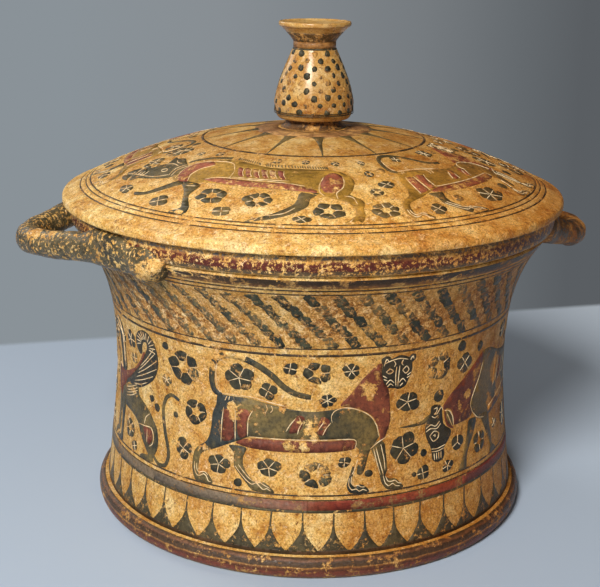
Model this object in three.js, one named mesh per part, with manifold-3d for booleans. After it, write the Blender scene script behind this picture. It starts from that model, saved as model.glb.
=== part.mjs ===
// A round clay box with a lid: a drum-shaped body with a turned foot and a flaring rim,
// two handles rolled from a coil and luted under the rim, and a domed lid with a knob.
// Millimetres, +Z up. The origin is on the axis, where the foot rests on the table.
import * as THREE from "three";
import { mergeVertices } from "three/addons/utils/BufferGeometryUtils.js";
import Module from "manifold-3d";

const wasm = await Module();
wasm.setup();

// Body
const BODY_HEIGHT = 144.2; // from the table to the flat top of the rim
const WAIST_RADIUS = 92.5; // outside of the wall where it is narrowest
const WAIST_HEIGHT = 66;
const FOOT_SPREAD = 5.8; // how much the wall widens from the waist down to the foot
const FOOT_SPREAD_POWER = 1.25;
const RIM_SPREAD = 17; // how much it widens from the waist up to the rim
const RIM_SPREAD_POWER = 3.1;
const WALL = 6.5; // thickness of the thrown wall
const FLOOR = 7; // thickness of the floor
const FLOOR_FILLET = 9; // inside, where the floor turns up into the wall

// Foot: a turned bead that the body stands on, with a shallow recess inside it
const FOOT_HEIGHT = 9.6;
const FOOT_PROUD = 4.6; // how far the bead stands out from the wall
const FOOT_GROOVE_WIDTH = 1.4;
const FOOT_GROOVE_DEPTH = 0.7;
const FOOT_RING_WIDTH = 12; // width of the flat ring that touches the table
const FOOT_RECESS = 3;
const RECESS_SLOPE = 2; // how far the recess draws in over its depth

// Rim: a turned bead with a flat top, which the lid sits on
const RIM_HEIGHT = 10.8;
const RIM_PROUD = 2.1;
const RIM_GROOVE_DEPTH = 0.8;
const RIM_LEDGE = 6.3; // width of the flat top
const MOUTH_ROUNDING = 1.2;
const BEAD_SQUARENESS = 0.65; // 1 makes a bead's section round, less makes it squarer

// Lid
const LID_OVERHANG = 3.4; // how far the lid reaches past the rim's bead
const LID_EDGE = 2.4; // height of the upright edge above its lower rounding
const LID_EDGE_ROUNDING = 0.8;
const LID_TOP_ROUNDING = 2.2; // where the dome turns down into the upright edge
const DOME_RISE = 29; // from the top of the edge to the crown
const DOME_POWER = 2.05;
const LID_WALL = 6.5;
const FLANGE_DEPTH = 8; // how far the locating ring drops into the mouth
const FLANGE_WIDTH = 4.5;
const FLANGE_CLEARANCE = 1.5; // between the locating ring and the mouth
const FLANGE_ROUNDING = 1.5;
const HOLLOW_SHOULDER = 2.5; // how far the lid's hollow draws in above its flat seat

// Knob and the collar that it stands on
const COLLAR_RADIUS = 15; // where the collar spreads on to the lid
const COLLAR_TOP_RADIUS = 12.7;
const COLLAR_HEIGHT = 4.1;
const COLLAR_EDGE = 0.4; // upright edge below and above its hollow curve
const KNOB_HEIGHT = 43.4; // from the collar to the top of the lip
const BELLY_RADIUS = 18.1;
const BELLY_HEIGHT = 7.2; // above the collar
const BELLY_UNDERSIDE = 2.6; // width of the flat that overhangs the collar
const SHOULDER_POWER = 1.42;
const NECK_RADIUS = 9.6;
const NECK_LENGTH = 2.8;
const LIP_RADIUS = 16.4;
const LIP_THICKNESS = 2.2;
const LIP_ROUNDING = 0.9;
const LIP_FLARE = 6.6; // height of the cone between the neck and the lip
const LIP_DISH = 1.8; // depth of the hollow on top

// Handles: two coils, bent and pressed on to the rim by hand, so they differ a little.
// Each line gives a point of one arm of the arch, at an angle from its middle. out is
// measured outwards from the rim's bead, and below from the rim's top. The last two lines
// are the clay thumbed over the root and along the rim: a lump's place, and half its size in
// each direction.
const HANDLE_RADIUS = 6.6;
const HANDLE_REACH = 18.4; // of both handles, so that they balance
const LEFT_HANDLE = {
  tip: { angle: 0, out: HANDLE_REACH, below: 15.5 },
  shoulder: { angle: 10.6, out: 9, below: 14 },
  heel: { angle: 19, out: 1.4, below: 12 },
  root: { angle: 40, out: -5.5, below: 12.5 },
  lump: { angle: 40, out: -4.4, below: 11, thick: 8.6, along: 11, tall: 9.4 },
  pad: { angle: 28, out: -1.6, below: 7.4, thick: 5.2, along: 20, tall: 6.8 },
};
const RIGHT_HANDLE = {
  tip: { angle: 0, out: HANDLE_REACH, below: 20.7 },
  shoulder: { angle: 9, out: 11.4, below: 18.7 },
  heel: { angle: 15, out: 2.4, below: 14.7 },
  root: { angle: 24, out: -5.6, below: 10.4 },
  lump: { angle: 22, out: -4.6, below: 8.8, thick: 7.6, along: 11, tall: 7.8 },
  pad: { angle: 17, out: -2.2, below: 7.2, thick: 4.8, along: 10, tall: 6.4 },
};

// Clearances and smoothness
const LUTING_GAP = 0.3; // between a handle and the wall that it is luted to
const ROUND_STEPS = 56; // facets round the body and the lid
const KNOB_STEPS = 32;
const COIL_SIDES = 12;
const COIL_STEPS = 26;
const LUMP_SIDES = 12;
const LUMP_RINGS = 8;
const WALL_STEPS = 11; // facets up the wall
const DOME_STEPS = 12; // facets from the lid's edge to its crown
const BEAD_STEPS = 6;
const CORNER_STEPS = 3;
const FILLET_STEPS = 4; // facets where the floor turns up into the wall
const BELLY_STEPS = 5; // facets under the knob's belly

const CLAY = 0xd29a5c;
const SLIP = 0x4a4636;

// Places worked out from the sizes above
const FLOOR_TOP = FOOT_RECESS + FLOOR;
const WALL_BOTTOM = FOOT_HEIGHT + FOOT_GROOVE_WIDTH;
const WALL_TOP = BODY_HEIGHT - RIM_HEIGHT;
const RIM_BASE_RADIUS = WAIST_RADIUS + RIM_SPREAD;
const RIM_RADIUS = RIM_BASE_RADIUS + RIM_PROUD;
const MOUTH_RADIUS = RIM_BASE_RADIUS - RIM_LEDGE;
const LID_RADIUS = RIM_RADIUS + LID_OVERHANG;
const EDGE_TOP = BODY_HEIGHT + LID_EDGE_ROUNDING + LID_EDGE;
const FLANGE_RADIUS = MOUTH_RADIUS - FLANGE_CLEARANCE;
const HOLLOW_RADIUS = FLANGE_RADIUS - FLANGE_WIDTH;
const SEAT_HEIGHT = domeHeight(COLLAR_RADIUS); // flat scraped on the crown for the knob
const KNOB_BASE = SEAT_HEIGHT + COLLAR_HEIGHT;

// Outer radius of the wall between the foot and the rim, as a function of height.
function wallRadius(z) {
  if (z < WAIST_HEIGHT) {
    const down = (WAIST_HEIGHT - z) / (WAIST_HEIGHT - WALL_BOTTOM);
    return WAIST_RADIUS + FOOT_SPREAD * down ** FOOT_SPREAD_POWER;
  }
  const up = (z - WAIST_HEIGHT) / (WALL_TOP - WAIST_HEIGHT);
  return WAIST_RADIUS + RIM_SPREAD * up ** RIM_SPREAD_POWER;
}

// Height of the lid's outside as a function of radius.
function domeHeight(radius) {
  return EDGE_TOP + DOME_RISE * (1 - (radius / LID_RADIUS) ** DOME_POWER);
}

// A half-round bead from its lower to its upper end, standing proud of a base radius.
function bead(baseRadius, proud, bottom, height) {
  const points = [];
  for (let i = 0; i <= BEAD_STEPS; i++) {
    const turn = Math.PI * (i / BEAD_STEPS - 0.5);
    const out = Math.max(0, Math.cos(turn)) ** BEAD_SQUARENESS;
    const z = bottom + (height / 2) * (1 + Math.sin(turn));
    points.push(new THREE.Vector2(baseRadius + proud * out, z));
  }
  return points;
}

// A quarter round from one (radius, height) to another, which starts upright or level.
function quarter(fromRadius, fromZ, toRadius, toZ, start, steps = CORNER_STEPS) {
  const points = [];
  for (let i = 0; i <= steps; i++) {
    const turn = (Math.PI / 2) * (i / steps);
    const across = start === "upright" ? 1 - Math.cos(turn) : Math.sin(turn);
    const along = start === "upright" ? Math.sin(turn) : 1 - Math.cos(turn);
    const radius = fromRadius + (toRadius - fromRadius) * across;
    points.push(new THREE.Vector2(radius, fromZ + (toZ - fromZ) * along));
  }
  return points;
}

// Turns a closed profile of (radius, height) points about the Z axis.
function turned(profile, steps = ROUND_STEPS) {
  return new THREE.LatheGeometry(profile, steps).rotateX(Math.PI / 2);
}

// The wall's outline from the foot's groove up to the flat top of the rim, moved outwards by grow.
function wallOutline(grow) {
  const points = [];
  for (let i = 0; i <= WALL_STEPS; i++) {
    const z = WALL_BOTTOM + ((WALL_TOP - WALL_BOTTOM) * i) / WALL_STEPS;
    points.push(new THREE.Vector2(wallRadius(z) + grow, z));
  }
  const grooveRadius = RIM_BASE_RADIUS - RIM_GROOVE_DEPTH + grow;
  points.push(new THREE.Vector2(grooveRadius, WALL_TOP + RIM_GROOVE_DEPTH));
  const beadBottom = WALL_TOP + 2 * RIM_GROOVE_DEPTH;
  points.push(...bead(RIM_BASE_RADIUS + grow, RIM_PROUD, beadBottom, BODY_HEIGHT - beadBottom));
  return points;
}

function makeBody() {
  const footBase = wallRadius(WALL_BOTTOM);
  const recessRadius = footBase - FOOT_RING_WIDTH;
  const outside = [
    new THREE.Vector2(0, FOOT_RECESS),
    new THREE.Vector2(recessRadius - RECESS_SLOPE, FOOT_RECESS),
    new THREE.Vector2(recessRadius, 0),
    ...bead(footBase, FOOT_PROUD, 0, FOOT_HEIGHT),
    new THREE.Vector2(footBase - FOOT_GROOVE_DEPTH, FOOT_HEIGHT + FOOT_GROOVE_WIDTH / 2),
    ...wallOutline(0),
  ];
  const lipTop = BODY_HEIGHT - MOUTH_ROUNDING;
  const inside = quarter(MOUTH_RADIUS + MOUTH_ROUNDING, BODY_HEIGHT, MOUTH_RADIUS, lipTop, "level");
  const bottom = FLOOR_TOP + FLOOR_FILLET;
  const steps = WALL_STEPS - CORNER_STEPS;
  for (let i = 0; i < steps; i++) {
    const z = WALL_TOP + ((bottom - WALL_TOP) * i) / steps;
    inside.push(new THREE.Vector2(Math.min(MOUTH_RADIUS, wallRadius(z) - WALL), z));
  }
  const innerRadius = wallRadius(bottom) - WALL;
  const floorRadius = innerRadius - FLOOR_FILLET;
  inside.push(...quarter(innerRadius, bottom, floorRadius, FLOOR_TOP, "upright", FILLET_STEPS));
  inside.push(new THREE.Vector2(0, FLOOR_TOP));
  return turned([...outside, ...inside]);
}

function makeLid() {
  const shoulder = LID_RADIUS - LID_TOP_ROUNDING;
  const hollowTop = HOLLOW_RADIUS - HOLLOW_SHOULDER;
  const hollow = [];
  for (let i = 0; i <= DOME_STEPS / 2; i++) {
    const radius = (hollowTop * i) / (DOME_STEPS / 2);
    hollow.push(new THREE.Vector2(radius, Math.min(SEAT_HEIGHT, domeHeight(radius)) - LID_WALL));
  }
  const lowerEdge = LID_RADIUS - LID_EDGE_ROUNDING;
  const edge = [
    ...quarter(lowerEdge, BODY_HEIGHT, LID_RADIUS, BODY_HEIGHT + LID_EDGE_ROUNDING, "level"),
    ...quarter(LID_RADIUS, EDGE_TOP - LID_TOP_ROUNDING / 2, shoulder, domeHeight(shoulder), "upright"),
  ];
  const dome = [];
  for (let i = 1; i <= DOME_STEPS; i++) {
    const radius = shoulder - ((shoulder - COLLAR_RADIUS) * i) / DOME_STEPS;
    dome.push(new THREE.Vector2(radius, domeHeight(radius)));
  }
  return turned([
    ...hollow,
    new THREE.Vector2(HOLLOW_RADIUS, BODY_HEIGHT),
    ...edge,
    ...dome,
    new THREE.Vector2(0, SEAT_HEIGHT),
  ]);
}

// The ring under the lid that drops inside the mouth and keeps the lid central.
function makeFlange() {
  const bottom = BODY_HEIGHT - FLANGE_DEPTH;
  const middle = (FLANGE_RADIUS + HOLLOW_RADIUS) / 2;
  const profile = [
    ...quarter(middle, bottom, FLANGE_RADIUS, bottom + FLANGE_ROUNDING, "level"),
    new THREE.Vector2(FLANGE_RADIUS, BODY_HEIGHT),
    new THREE.Vector2(HOLLOW_RADIUS, BODY_HEIGHT),
    ...quarter(HOLLOW_RADIUS, bottom + FLANGE_ROUNDING, middle, bottom, "upright"),
  ];
  return turned(profile);
}

function makeCollar() {
  const bottom = SEAT_HEIGHT + COLLAR_EDGE;
  const top = KNOB_BASE - COLLAR_EDGE;
  return turned([
    new THREE.Vector2(0, SEAT_HEIGHT),
    new THREE.Vector2(COLLAR_RADIUS, SEAT_HEIGHT),
    ...quarter(COLLAR_RADIUS, bottom, COLLAR_TOP_RADIUS, top, "level"),
    new THREE.Vector2(COLLAR_TOP_RADIUS, KNOB_BASE),
    new THREE.Vector2(0, KNOB_BASE),
  ], KNOB_STEPS);
}

function makeKnob() {
  const belly = KNOB_BASE + BELLY_HEIGHT;
  const lipTop = KNOB_BASE + KNOB_HEIGHT;
  const lipBottom = lipTop - LIP_THICKNESS;
  const neckTop = lipBottom - LIP_FLARE;
  const neckBottom = neckTop - NECK_LENGTH;
  const shoulder = [];
  const steps = DOME_STEPS / 2;
  for (let i = 1; i <= steps; i++) {
    const rise = i / steps;
    const radius = BELLY_RADIUS - (BELLY_RADIUS - NECK_RADIUS) * rise ** SHOULDER_POWER;
    shoulder.push(new THREE.Vector2(radius, belly + (neckBottom - belly) * rise));
  }
  const underside = COLLAR_TOP_RADIUS + BELLY_UNDERSIDE;
  const lipBase = LIP_RADIUS - LIP_ROUNDING;
  const dish = [];
  for (let i = 1; i <= CORNER_STEPS; i++) {
    const turn = (Math.PI / 2) * (i / CORNER_STEPS);
    dish.push(new THREE.Vector2(lipBase * Math.cos(turn), lipTop - LIP_DISH * Math.sin(turn)));
  }
  dish[CORNER_STEPS - 1].x = 0;
  return turned([
    new THREE.Vector2(0, KNOB_BASE),
    ...quarter(underside, KNOB_BASE, BELLY_RADIUS, belly, "level", BELLY_STEPS),
    ...shoulder,
    new THREE.Vector2(NECK_RADIUS, neckTop),
    ...bead(lipBase, LIP_ROUNDING, lipBottom, LIP_THICKNESS),
    ...dish,
  ], KNOB_STEPS);
}

// A closed mesh as a solid that can be joined and cut, and back.
function solidOf(geometry) {
  const bare = geometry.clone();
  bare.deleteAttribute("normal");
  bare.deleteAttribute("uv");
  const merged = mergeVertices(bare, 1e-4);
  const vertProperties = new Float32Array(merged.attributes.position.array);
  const triVerts = new Uint32Array(merged.index.array);
  return new wasm.Manifold(new wasm.Mesh({ numProp: 3, vertProperties, triVerts }));
}

function geometryOf(solid) {
  const { vertProperties, triVerts } = solid.getMesh();
  const geometry = new THREE.BufferGeometry();
  geometry.setAttribute("position", new THREE.BufferAttribute(vertProperties, 3));
  geometry.setIndex(new THREE.BufferAttribute(triVerts, 1));
  geometry.computeVertexNormals();
  return geometry;
}

// A point of a handle's arch, side being 1 or -1 for its two arms.
function archPoint({ angle, out, below }, side) {
  const turn = THREE.MathUtils.degToRad(angle * side);
  const radius = RIM_RADIUS + out;
  return new THREE.Vector3(radius * Math.cos(turn), radius * Math.sin(turn), BODY_HEIGHT - below);
}

// A lump of clay on one arm of a handle's arch.
function makeLump({ thick, along, tall, ...station }, side) {
  const clay = new THREE.SphereGeometry(1, LUMP_SIDES, LUMP_RINGS);
  const place = archPoint(station, side);
  clay.scale(thick, along, tall);
  clay.rotateZ(THREE.MathUtils.degToRad(station.angle * side));
  return clay.translate(place.x, place.y, place.z);
}

// One handle about the +X axis: a coil bent to an arch, with clay thumbed over each root, cut
// back to the wall and the rim that it is pressed on to.
function makeHandle({ tip, shoulder, heel, root, lump, pad }) {
  const arm = [root, heel, shoulder];
  const path = new THREE.CatmullRomCurve3([
    ...arm.map((station) => archPoint(station, -1)),
    archPoint(tip, 1),
    ...arm.map((station) => archPoint(station, 1)).reverse(),
  ]);
  const section = new THREE.Shape().absarc(0, 0, HANDLE_RADIUS, 0, 2 * Math.PI);
  const coil = new THREE.ExtrudeGeometry(section, {
    steps: COIL_STEPS,
    extrudePath: path,
    curveSegments: COIL_SIDES,
  });
  let handle = solidOf(coil);
  for (const side of [-1, 1]) {
    handle = handle.add(solidOf(makeLump(lump, side))).add(solidOf(makeLump(pad, side)));
  }
  const wall = turned([
    new THREE.Vector2(0, WALL_BOTTOM),
    ...wallOutline(LUTING_GAP),
    new THREE.Vector2(0, BODY_HEIGHT),
  ]);
  return geometryOf(handle.subtract(solidOf(wall)));
}

function piece(name, geometry, color, roughness) {
  const material = new THREE.MeshStandardMaterial({ color, roughness, metalness: 0 });
  const mesh = new THREE.Mesh(geometry, material);
  mesh.name = name;
  return mesh;
}

const handleRight = piece("handle_right", makeHandle(RIGHT_HANDLE), SLIP, 0.5);
const handleLeft = piece("handle_left", makeHandle(LEFT_HANDLE), SLIP, 0.5);
handleLeft.rotation.z = Math.PI;

const lidGroup = new THREE.Group();
lidGroup.add(
  piece("lid", makeLid(), CLAY, 0.6),
  piece("lid_flange", makeFlange(), CLAY, 0.7),
  piece("knob_collar", makeCollar(), SLIP, 0.5),
  piece("knob", makeKnob(), CLAY, 0.5),
);

const pyxis = new THREE.Group();
pyxis.add(piece("body", makeBody(), CLAY, 0.6), handleLeft, handleRight, lidGroup);

export default pyxis;
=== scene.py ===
# A painted clay pyxis: a thrown box with two handles and a lifting lid, its walls and lid
# covered with a frieze of beasts in dark slip and added red. Sizes are in millimetres.
import random
from math import ceil, cos, hypot, pi, radians, sin

import bmesh
import bpy
from mathutils import Matrix, Vector, noise


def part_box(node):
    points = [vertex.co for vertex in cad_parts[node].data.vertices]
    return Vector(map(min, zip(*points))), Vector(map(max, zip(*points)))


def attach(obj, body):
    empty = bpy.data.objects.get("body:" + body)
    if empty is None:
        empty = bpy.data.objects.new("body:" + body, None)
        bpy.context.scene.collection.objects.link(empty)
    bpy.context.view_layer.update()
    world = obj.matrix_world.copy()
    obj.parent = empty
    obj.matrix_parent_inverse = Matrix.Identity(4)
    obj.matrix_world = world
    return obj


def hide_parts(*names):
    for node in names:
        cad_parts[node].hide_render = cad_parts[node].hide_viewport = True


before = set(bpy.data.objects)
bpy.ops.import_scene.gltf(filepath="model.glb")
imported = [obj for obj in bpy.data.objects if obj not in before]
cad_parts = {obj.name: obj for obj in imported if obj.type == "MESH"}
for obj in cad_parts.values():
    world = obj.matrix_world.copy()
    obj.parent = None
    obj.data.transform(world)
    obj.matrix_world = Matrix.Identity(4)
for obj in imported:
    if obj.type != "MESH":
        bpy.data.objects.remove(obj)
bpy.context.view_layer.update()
MM = 0.001

# The thrown body
# One pot of fired clay: a floor, a wall that draws in at the waist, a turned bead for a foot
# and a squarer bead for a rim. Fingers left faint rings in it, and use has worn its edges.
body_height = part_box("body")[1][2] / MM
rim_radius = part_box("body")[1][0] / MM
waist_radius = 92.5
waist_height = 66
foot_spread = 5.8
foot_power = 1.25
rim_spread = 17
rim_power = 3.1
foot_height = 9.6
foot_proud = 4.6
groove_width = 1.4
groove_depth = 0.7
foot_ring = 12
foot_recess = 3
floor_thickness = 7
floor_fillet = 9
wall_thickness = 6.5
rim_height = 10.8
rim_proud = 2.1
rim_groove = 0.8
rim_ledge = 6.3
edge_rounding = 1.2
bead_squareness = 0.65
finger_ring = 0.12
wall_bottom = foot_height + groove_width
wall_top = body_height - rim_height
rim_base = rim_radius - rim_proud
mouth_radius = rim_base - rim_ledge


def wall_radius(z):
    if z < waist_height:
        down = (waist_height - z) / (waist_height - wall_bottom)
        return waist_radius + foot_spread * down ** foot_power
    up = (z - waist_height) / (wall_top - waist_height)
    return waist_radius + rim_spread * up ** rim_power


def bead(base, proud, bottom, height, steps=14):
    turns = [pi * (i / steps - 0.5) for i in range(steps + 1)]
    return [(base + proud * max(0, cos(turn)) ** bead_squareness, bottom + height * (1 + sin(turn)) / 2)
            for turn in turns]


def quarter(start, end, upright, steps=6):
    """A quarter round from one point of a profile to another, upright or level where it starts."""
    points = []
    for i in range(steps + 1):
        turn = pi / 2 * i / steps
        across = 1 - cos(turn) if upright else sin(turn)
        along = sin(turn) if upright else 1 - cos(turn)
        points.append((start[0] + (end[0] - start[0]) * across, start[1] + (end[1] - start[1]) * along))
    return points


def turned(profile, steps=240):
    made = bmesh.new()
    points = [made.verts.new((radius, 0, z)) for radius, z in profile]
    lines = [made.edges.new(pair) for pair in zip(points, points[1:])]
    bmesh.ops.spin(made, geom=points + lines, axis=(0, 0, 1), cent=(0, 0, 0), angle=2 * pi,
                   steps=steps, use_merge=True)
    bmesh.ops.remove_doubles(made, verts=made.verts, dist=0.001)
    bmesh.ops.recalc_face_normals(made, faces=made.faces)
    return made


def wear(made, low, high, depth, size=9):
    """Rubs shallow chips out of the outside between two heights."""
    made.normal_update()
    for point in made.verts:
        if low < point.co.z < high:
            rubbed = noise.noise(point.co / size) + 0.5 * noise.noise(point.co / size * 3.1)
            point.co -= point.normal * depth * max(0, rubbed - 0.25)


def finished(made, name, material, rides, stands_for=None):
    bmesh.ops.scale(made, vec=(MM, MM, MM), verts=made.verts)
    mesh = bpy.data.meshes.new(name)
    made.to_mesh(mesh)
    made.free()
    mesh.shade_smooth()
    mesh.materials.append(material)
    piece = bpy.data.objects.new(name, mesh)
    bpy.context.collection.objects.link(piece)
    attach(piece, rides)
    if stands_for:
        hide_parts(stands_for)
    return piece


def shade(red, green, blue):
    """A colour given as it looks, in steps of 255, for a shader's socket."""
    levels = [level / 255 for level in (red, green, blue)]
    return tuple(l / 12.92 if l < 0.04045 else ((l + 0.055) / 1.055) ** 2.4 for l in levels) + (1,)


def node(tree, kind, **settings):
    made = tree.nodes.new("ShaderNode" + kind)
    for name, value in settings.items():
        if name in made.inputs:
            made.inputs[name].default_value = value
        else:
            setattr(made, name, value)
    return made


def speckle(tree, place, size, detail=6, rough=0.6, warp=0.0):
    """Noise whose patches are about the given number of millimetres across."""
    made = node(tree, "TexNoise", Scale=1 / (size * MM), Detail=detail, Roughness=rough, Distortion=warp)
    tree.links.new(place, made.inputs["Vector"])
    return made.outputs["Fac"]


def ramp(tree, factor, stops):
    made = node(tree, "ValToRGB")
    while len(made.color_ramp.elements) < len(stops):
        made.color_ramp.elements.new(0.5)
    for element, (position, value) in zip(made.color_ramp.elements, stops):
        element.position = position
        element.color = value if isinstance(value, tuple) else (value, value, value, 1)
    tree.links.new(factor, made.inputs["Fac"])
    return made.outputs["Color"]


def fed(tree, socket, value):
    """Gives a socket a value, or links another node's output to it."""
    if hasattr(value, "is_linked"):
        tree.links.new(value, socket)
    else:
        socket.default_value = value


def blend(tree, factor, first, second, mode="MIX"):
    made = node(tree, "Mix", data_type="RGBA", blend_type=mode)
    for socket, value in ((made.inputs[0], factor), (made.inputs[6], first), (made.inputs[7], second)):
        fed(tree, socket, value)
    return made.outputs[2]


def sums(tree, operation, first, second=0.0, third=0.0):
    made = node(tree, "Math", operation=operation)
    for socket, value in zip(made.inputs, (first, second, third)):
        fed(tree, socket, value)
    return made.outputs[0]


def span(tree, value, start, end, low=0.0, high=1.0):
    """Maps a value that runs from start to end on to low to high, and no further."""
    made = node(tree, "MapRange", interpolation_type="SMOOTHSTEP")
    for socket, given in zip(made.inputs, (value, start, end, low, high)):
        fed(tree, socket, given)
    return made.outputs["Result"]


def axes_of(tree, place):
    parts = node(tree, "SeparateXYZ")
    tree.links.new(place, parts.inputs[0])
    return parts.outputs


def height_of(tree, place):
    """Height over the table in millimetres."""
    return sums(tree, "MULTIPLY", axes_of(tree, place)["Z"], 1 / MM)


def pitted(tree, place):
    """Where the clay is spalled and coarse: all round under the rim, less so elsewhere."""
    height = height_of(tree, place)
    under_rim = sums(tree, "MULTIPLY", span(tree, height, 96, 106), span(tree, height, 130, 122))
    patches = span(tree, speckle(tree, place, 30, 4, 0.6), 0.42, 0.6)
    return sums(tree, "MULTIPLY_ADD", under_rim, sums(tree, "MULTIPLY_ADD", patches, 0.5, 0.4),
                sums(tree, "MULTIPLY", patches, 0.16))


def painted_side_shade(tree, place, colour):
    """Darker and browner towards the pot's right side, as painted shade, and a little darker
    at its left end."""
    axes = axes_of(tree, place)
    wander = sums(tree, "MULTIPLY_ADD", speckle(tree, place, 30, 4, 0.6), 0.05, axes["X"])
    rightward = sums(tree, "MULTIPLY_ADD", axes["Y"], -0.33, wander)
    # Painted shade: the colour is multiplied darker towards the right side.
    side_shade = ramp(tree, sums(tree, "MULTIPLY_ADD", rightward, 4, 0.28), [
        (0.06, (0.86, 0.85, 0.82, 1)), (0.22, (1, 1, 1, 1)), (0.36, (1, 1, 1, 1)),
        (0.54, (0.91, 0.81, 0.66, 1)), (0.70, (0.76, 0.58, 0.39, 1)), (0.84, (0.62, 0.43, 0.26, 1))])
    return blend(tree, 1.0, colour, side_shade, "MULTIPLY")


def clay_colour(tree, place):
    """Buff clay, fired unevenly and grainy, with orange patches and brown soil in its pits;
    painted light makes it paler over the rim and the lid.
    """
    fired = ramp(tree, speckle(tree, place, 11, 9, 0.74), [
        (0.34, shade(178, 114, 44)), (0.43, shade(212, 158, 76)),
        (0.53, shade(234, 190, 112)), (0.64, shade(252, 224, 162))])
    soil = ramp(tree, speckle(tree, place, 2.4, 8, 0.8, 0.4), [(0.36, 1), (0.42, 0.5), (0.46, 0)])
    grubby = blend(tree, soil, fired, shade(128, 76, 30))
    stain = ramp(tree, speckle(tree, place, 42, 9, 0.72), [(0.46, 0), (0.66, 0.5)])
    stained = blend(tree, stain, grubby, shade(186, 124, 60))
    spalled = ramp(tree, speckle(tree, place, 2.1, 6, 0.8, 0.6), [
        (0.39, shade(76, 46, 20)), (0.46, shade(164, 108, 50)),
        (0.54, shade(212, 158, 88)), (0.61, shade(255, 228, 176))])
    coarse = blend(tree, pitted(tree, place), stained, spalled)
    chalk = ramp(tree, speckle(tree, place, 2.6, 8, 0.82, 0.4), [(0.54, 0), (0.62, 0.7)])
    coarse = blend(tree, chalk, coarse, shade(254, 226, 182))
    grain = ramp(tree, speckle(tree, place, 0.8, 4, 0.8), [
        (0.38, (0.54, 0.44, 0.30, 1)), (0.45, (0.87, 0.83, 0.75, 1)),
        (0.54, (1.04, 1.03, 1.01, 1)), (0.62, (1.28, 1.28, 1.26, 1))])
    height = height_of(tree, place)
    calm = span(tree, height, 162, 176, 0, 0.65)
    grainy = blend(tree, 1.0, coarse, blend(tree, calm, grain, (0.72, 0.67, 0.60, 1)), "MULTIPLY")
    # Painted light: paler over the rim and lid, less so towards the knob.
    painted_top_light = sums(tree, "MULTIPLY", span(tree, height, 120, 144), span(tree, height, 176, 150, 0.12, 1))
    return blend(tree, painted_top_light, grainy, (1.26, 1.33, 1.42, 1), "MULTIPLY")


def roughened(tree, place, shader, strength=0.35, extra=None):
    """Fine grain and wider dents, with any step between paint and clay added to them."""
    grain = ramp(tree, speckle(tree, place, 0.9, 5, 0.7), [(0.28, 0), (0.55, 1)])
    dents = sums(tree, "MULTIPLY_ADD", speckle(tree, place, 5, 5, 0.65), 2.2, grain)
    bump = node(tree, "Bump", Strength=strength, Distance=0.3 * MM)
    tree.links.new(dents, bump.inputs["Height"])
    last = bump
    if extra is not None:
        last = node(tree, "Bump", Strength=0.6, Distance=0.12 * MM)
        tree.links.new(extra, last.inputs["Height"])
        tree.links.new(bump.outputs["Normal"], last.inputs["Normal"])
    tree.links.new(last.outputs["Normal"], shader.inputs["Normal"])


def new_material(name):
    material = bpy.data.materials.new(name)
    material.use_nodes = True
    tree = material.node_tree
    shader = tree.nodes["Principled BSDF"]
    place = node(tree, "TexCoord").outputs["Object"]
    return material, tree, shader, place


def fired_clay(name, smooth_spots, rough_spots):
    material, tree, shader, place = new_material(name)
    tree.links.new(painted_side_shade(tree, place, clay_colour(tree, place)), shader.inputs["Base Color"])
    dull = ramp(tree, speckle(tree, place, 6), [(0.35, smooth_spots), (0.65, rough_spots)])
    tree.links.new(dull, shader.inputs["Roughness"])
    shader.inputs["Specular IOR Level"].default_value = 0.2
    pits = sums(tree, "MULTIPLY", pitted(tree, place), speckle(tree, place, 2.1, 6, 0.8, 0.6))
    roughened(tree, place, shader, 0.7, pits)
    return material


clay = fired_clay("fired_clay", 0.42, 0.66)
outer_heights = [wall_bottom + (wall_top - wall_bottom) * i / 48 for i in range(49)]
outer_wall = [(wall_radius(z), z) for z in outer_heights]
foot_base = wall_radius(wall_bottom)
beads_bottom = wall_top + 2 * rim_groove
inner_bottom = foot_recess + floor_thickness + floor_fillet
inner_radius = wall_radius(inner_bottom) - wall_thickness
inner_wall = []
for i in range(40):
    z = wall_top + (inner_bottom - wall_top) * i / 40
    ring = finger_ring * sin(z * 0.9)
    inner_wall.append((min(mouth_radius, wall_radius(z) - wall_thickness) - ring, z))
mouth_edge = quarter((mouth_radius + edge_rounding, body_height),
                     (mouth_radius, body_height - edge_rounding), False)
floor_corner = quarter((inner_radius, inner_bottom),
                       (inner_radius - floor_fillet, inner_bottom - floor_fillet), True)
body_profile = [
    (0, foot_recess), (foot_base - foot_ring - 2, foot_recess), (foot_base - foot_ring, 0),
    *bead(foot_base, foot_proud, 0, foot_height),
    (foot_base - groove_depth, foot_height + groove_width / 2),
    *outer_wall,
    (rim_base - rim_groove, wall_top + rim_groove),
    *bead(rim_base, rim_proud, beads_bottom, body_height - beads_bottom),
    *mouth_edge,
    *inner_wall,
    *floor_corner,
    (0, inner_bottom - floor_fillet),
]
body_mesh = turned(body_profile)
wear(body_mesh, wall_top + 1, body_height - 1, 0.7)
wear(body_mesh, 1, foot_height, 0.6)
finished(body_mesh, "body_wall", clay, "vessel", "body")

# Painted bands of the wall
# Dark slip and added red were brushed on while the pot turned: lines above and below the
# frieze, a ring of tongues over the foot, slanting rows of strokes under the rim.
# A shape is drawn flat, x along the wall from the middle of its front and y up, and laid on.
front = radians(-102.5)
paint_lift = 0.08
paint_thickness = 0.12
red_lift = 0.15
red_thickness = 0.2
cut_lift = 0.2
cut_thickness = 0.24
scratch_width = 0.38
frieze_line = 36
frieze_top = 96
overlap_step = 0.003
wall_around = 2 * pi * waist_radius


def on_wall(x, z, lift):
    turn = front + x / waist_radius
    radius = wall_radius(z) + lift
    return Vector((radius * cos(turn), radius * sin(turn), z))


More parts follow.
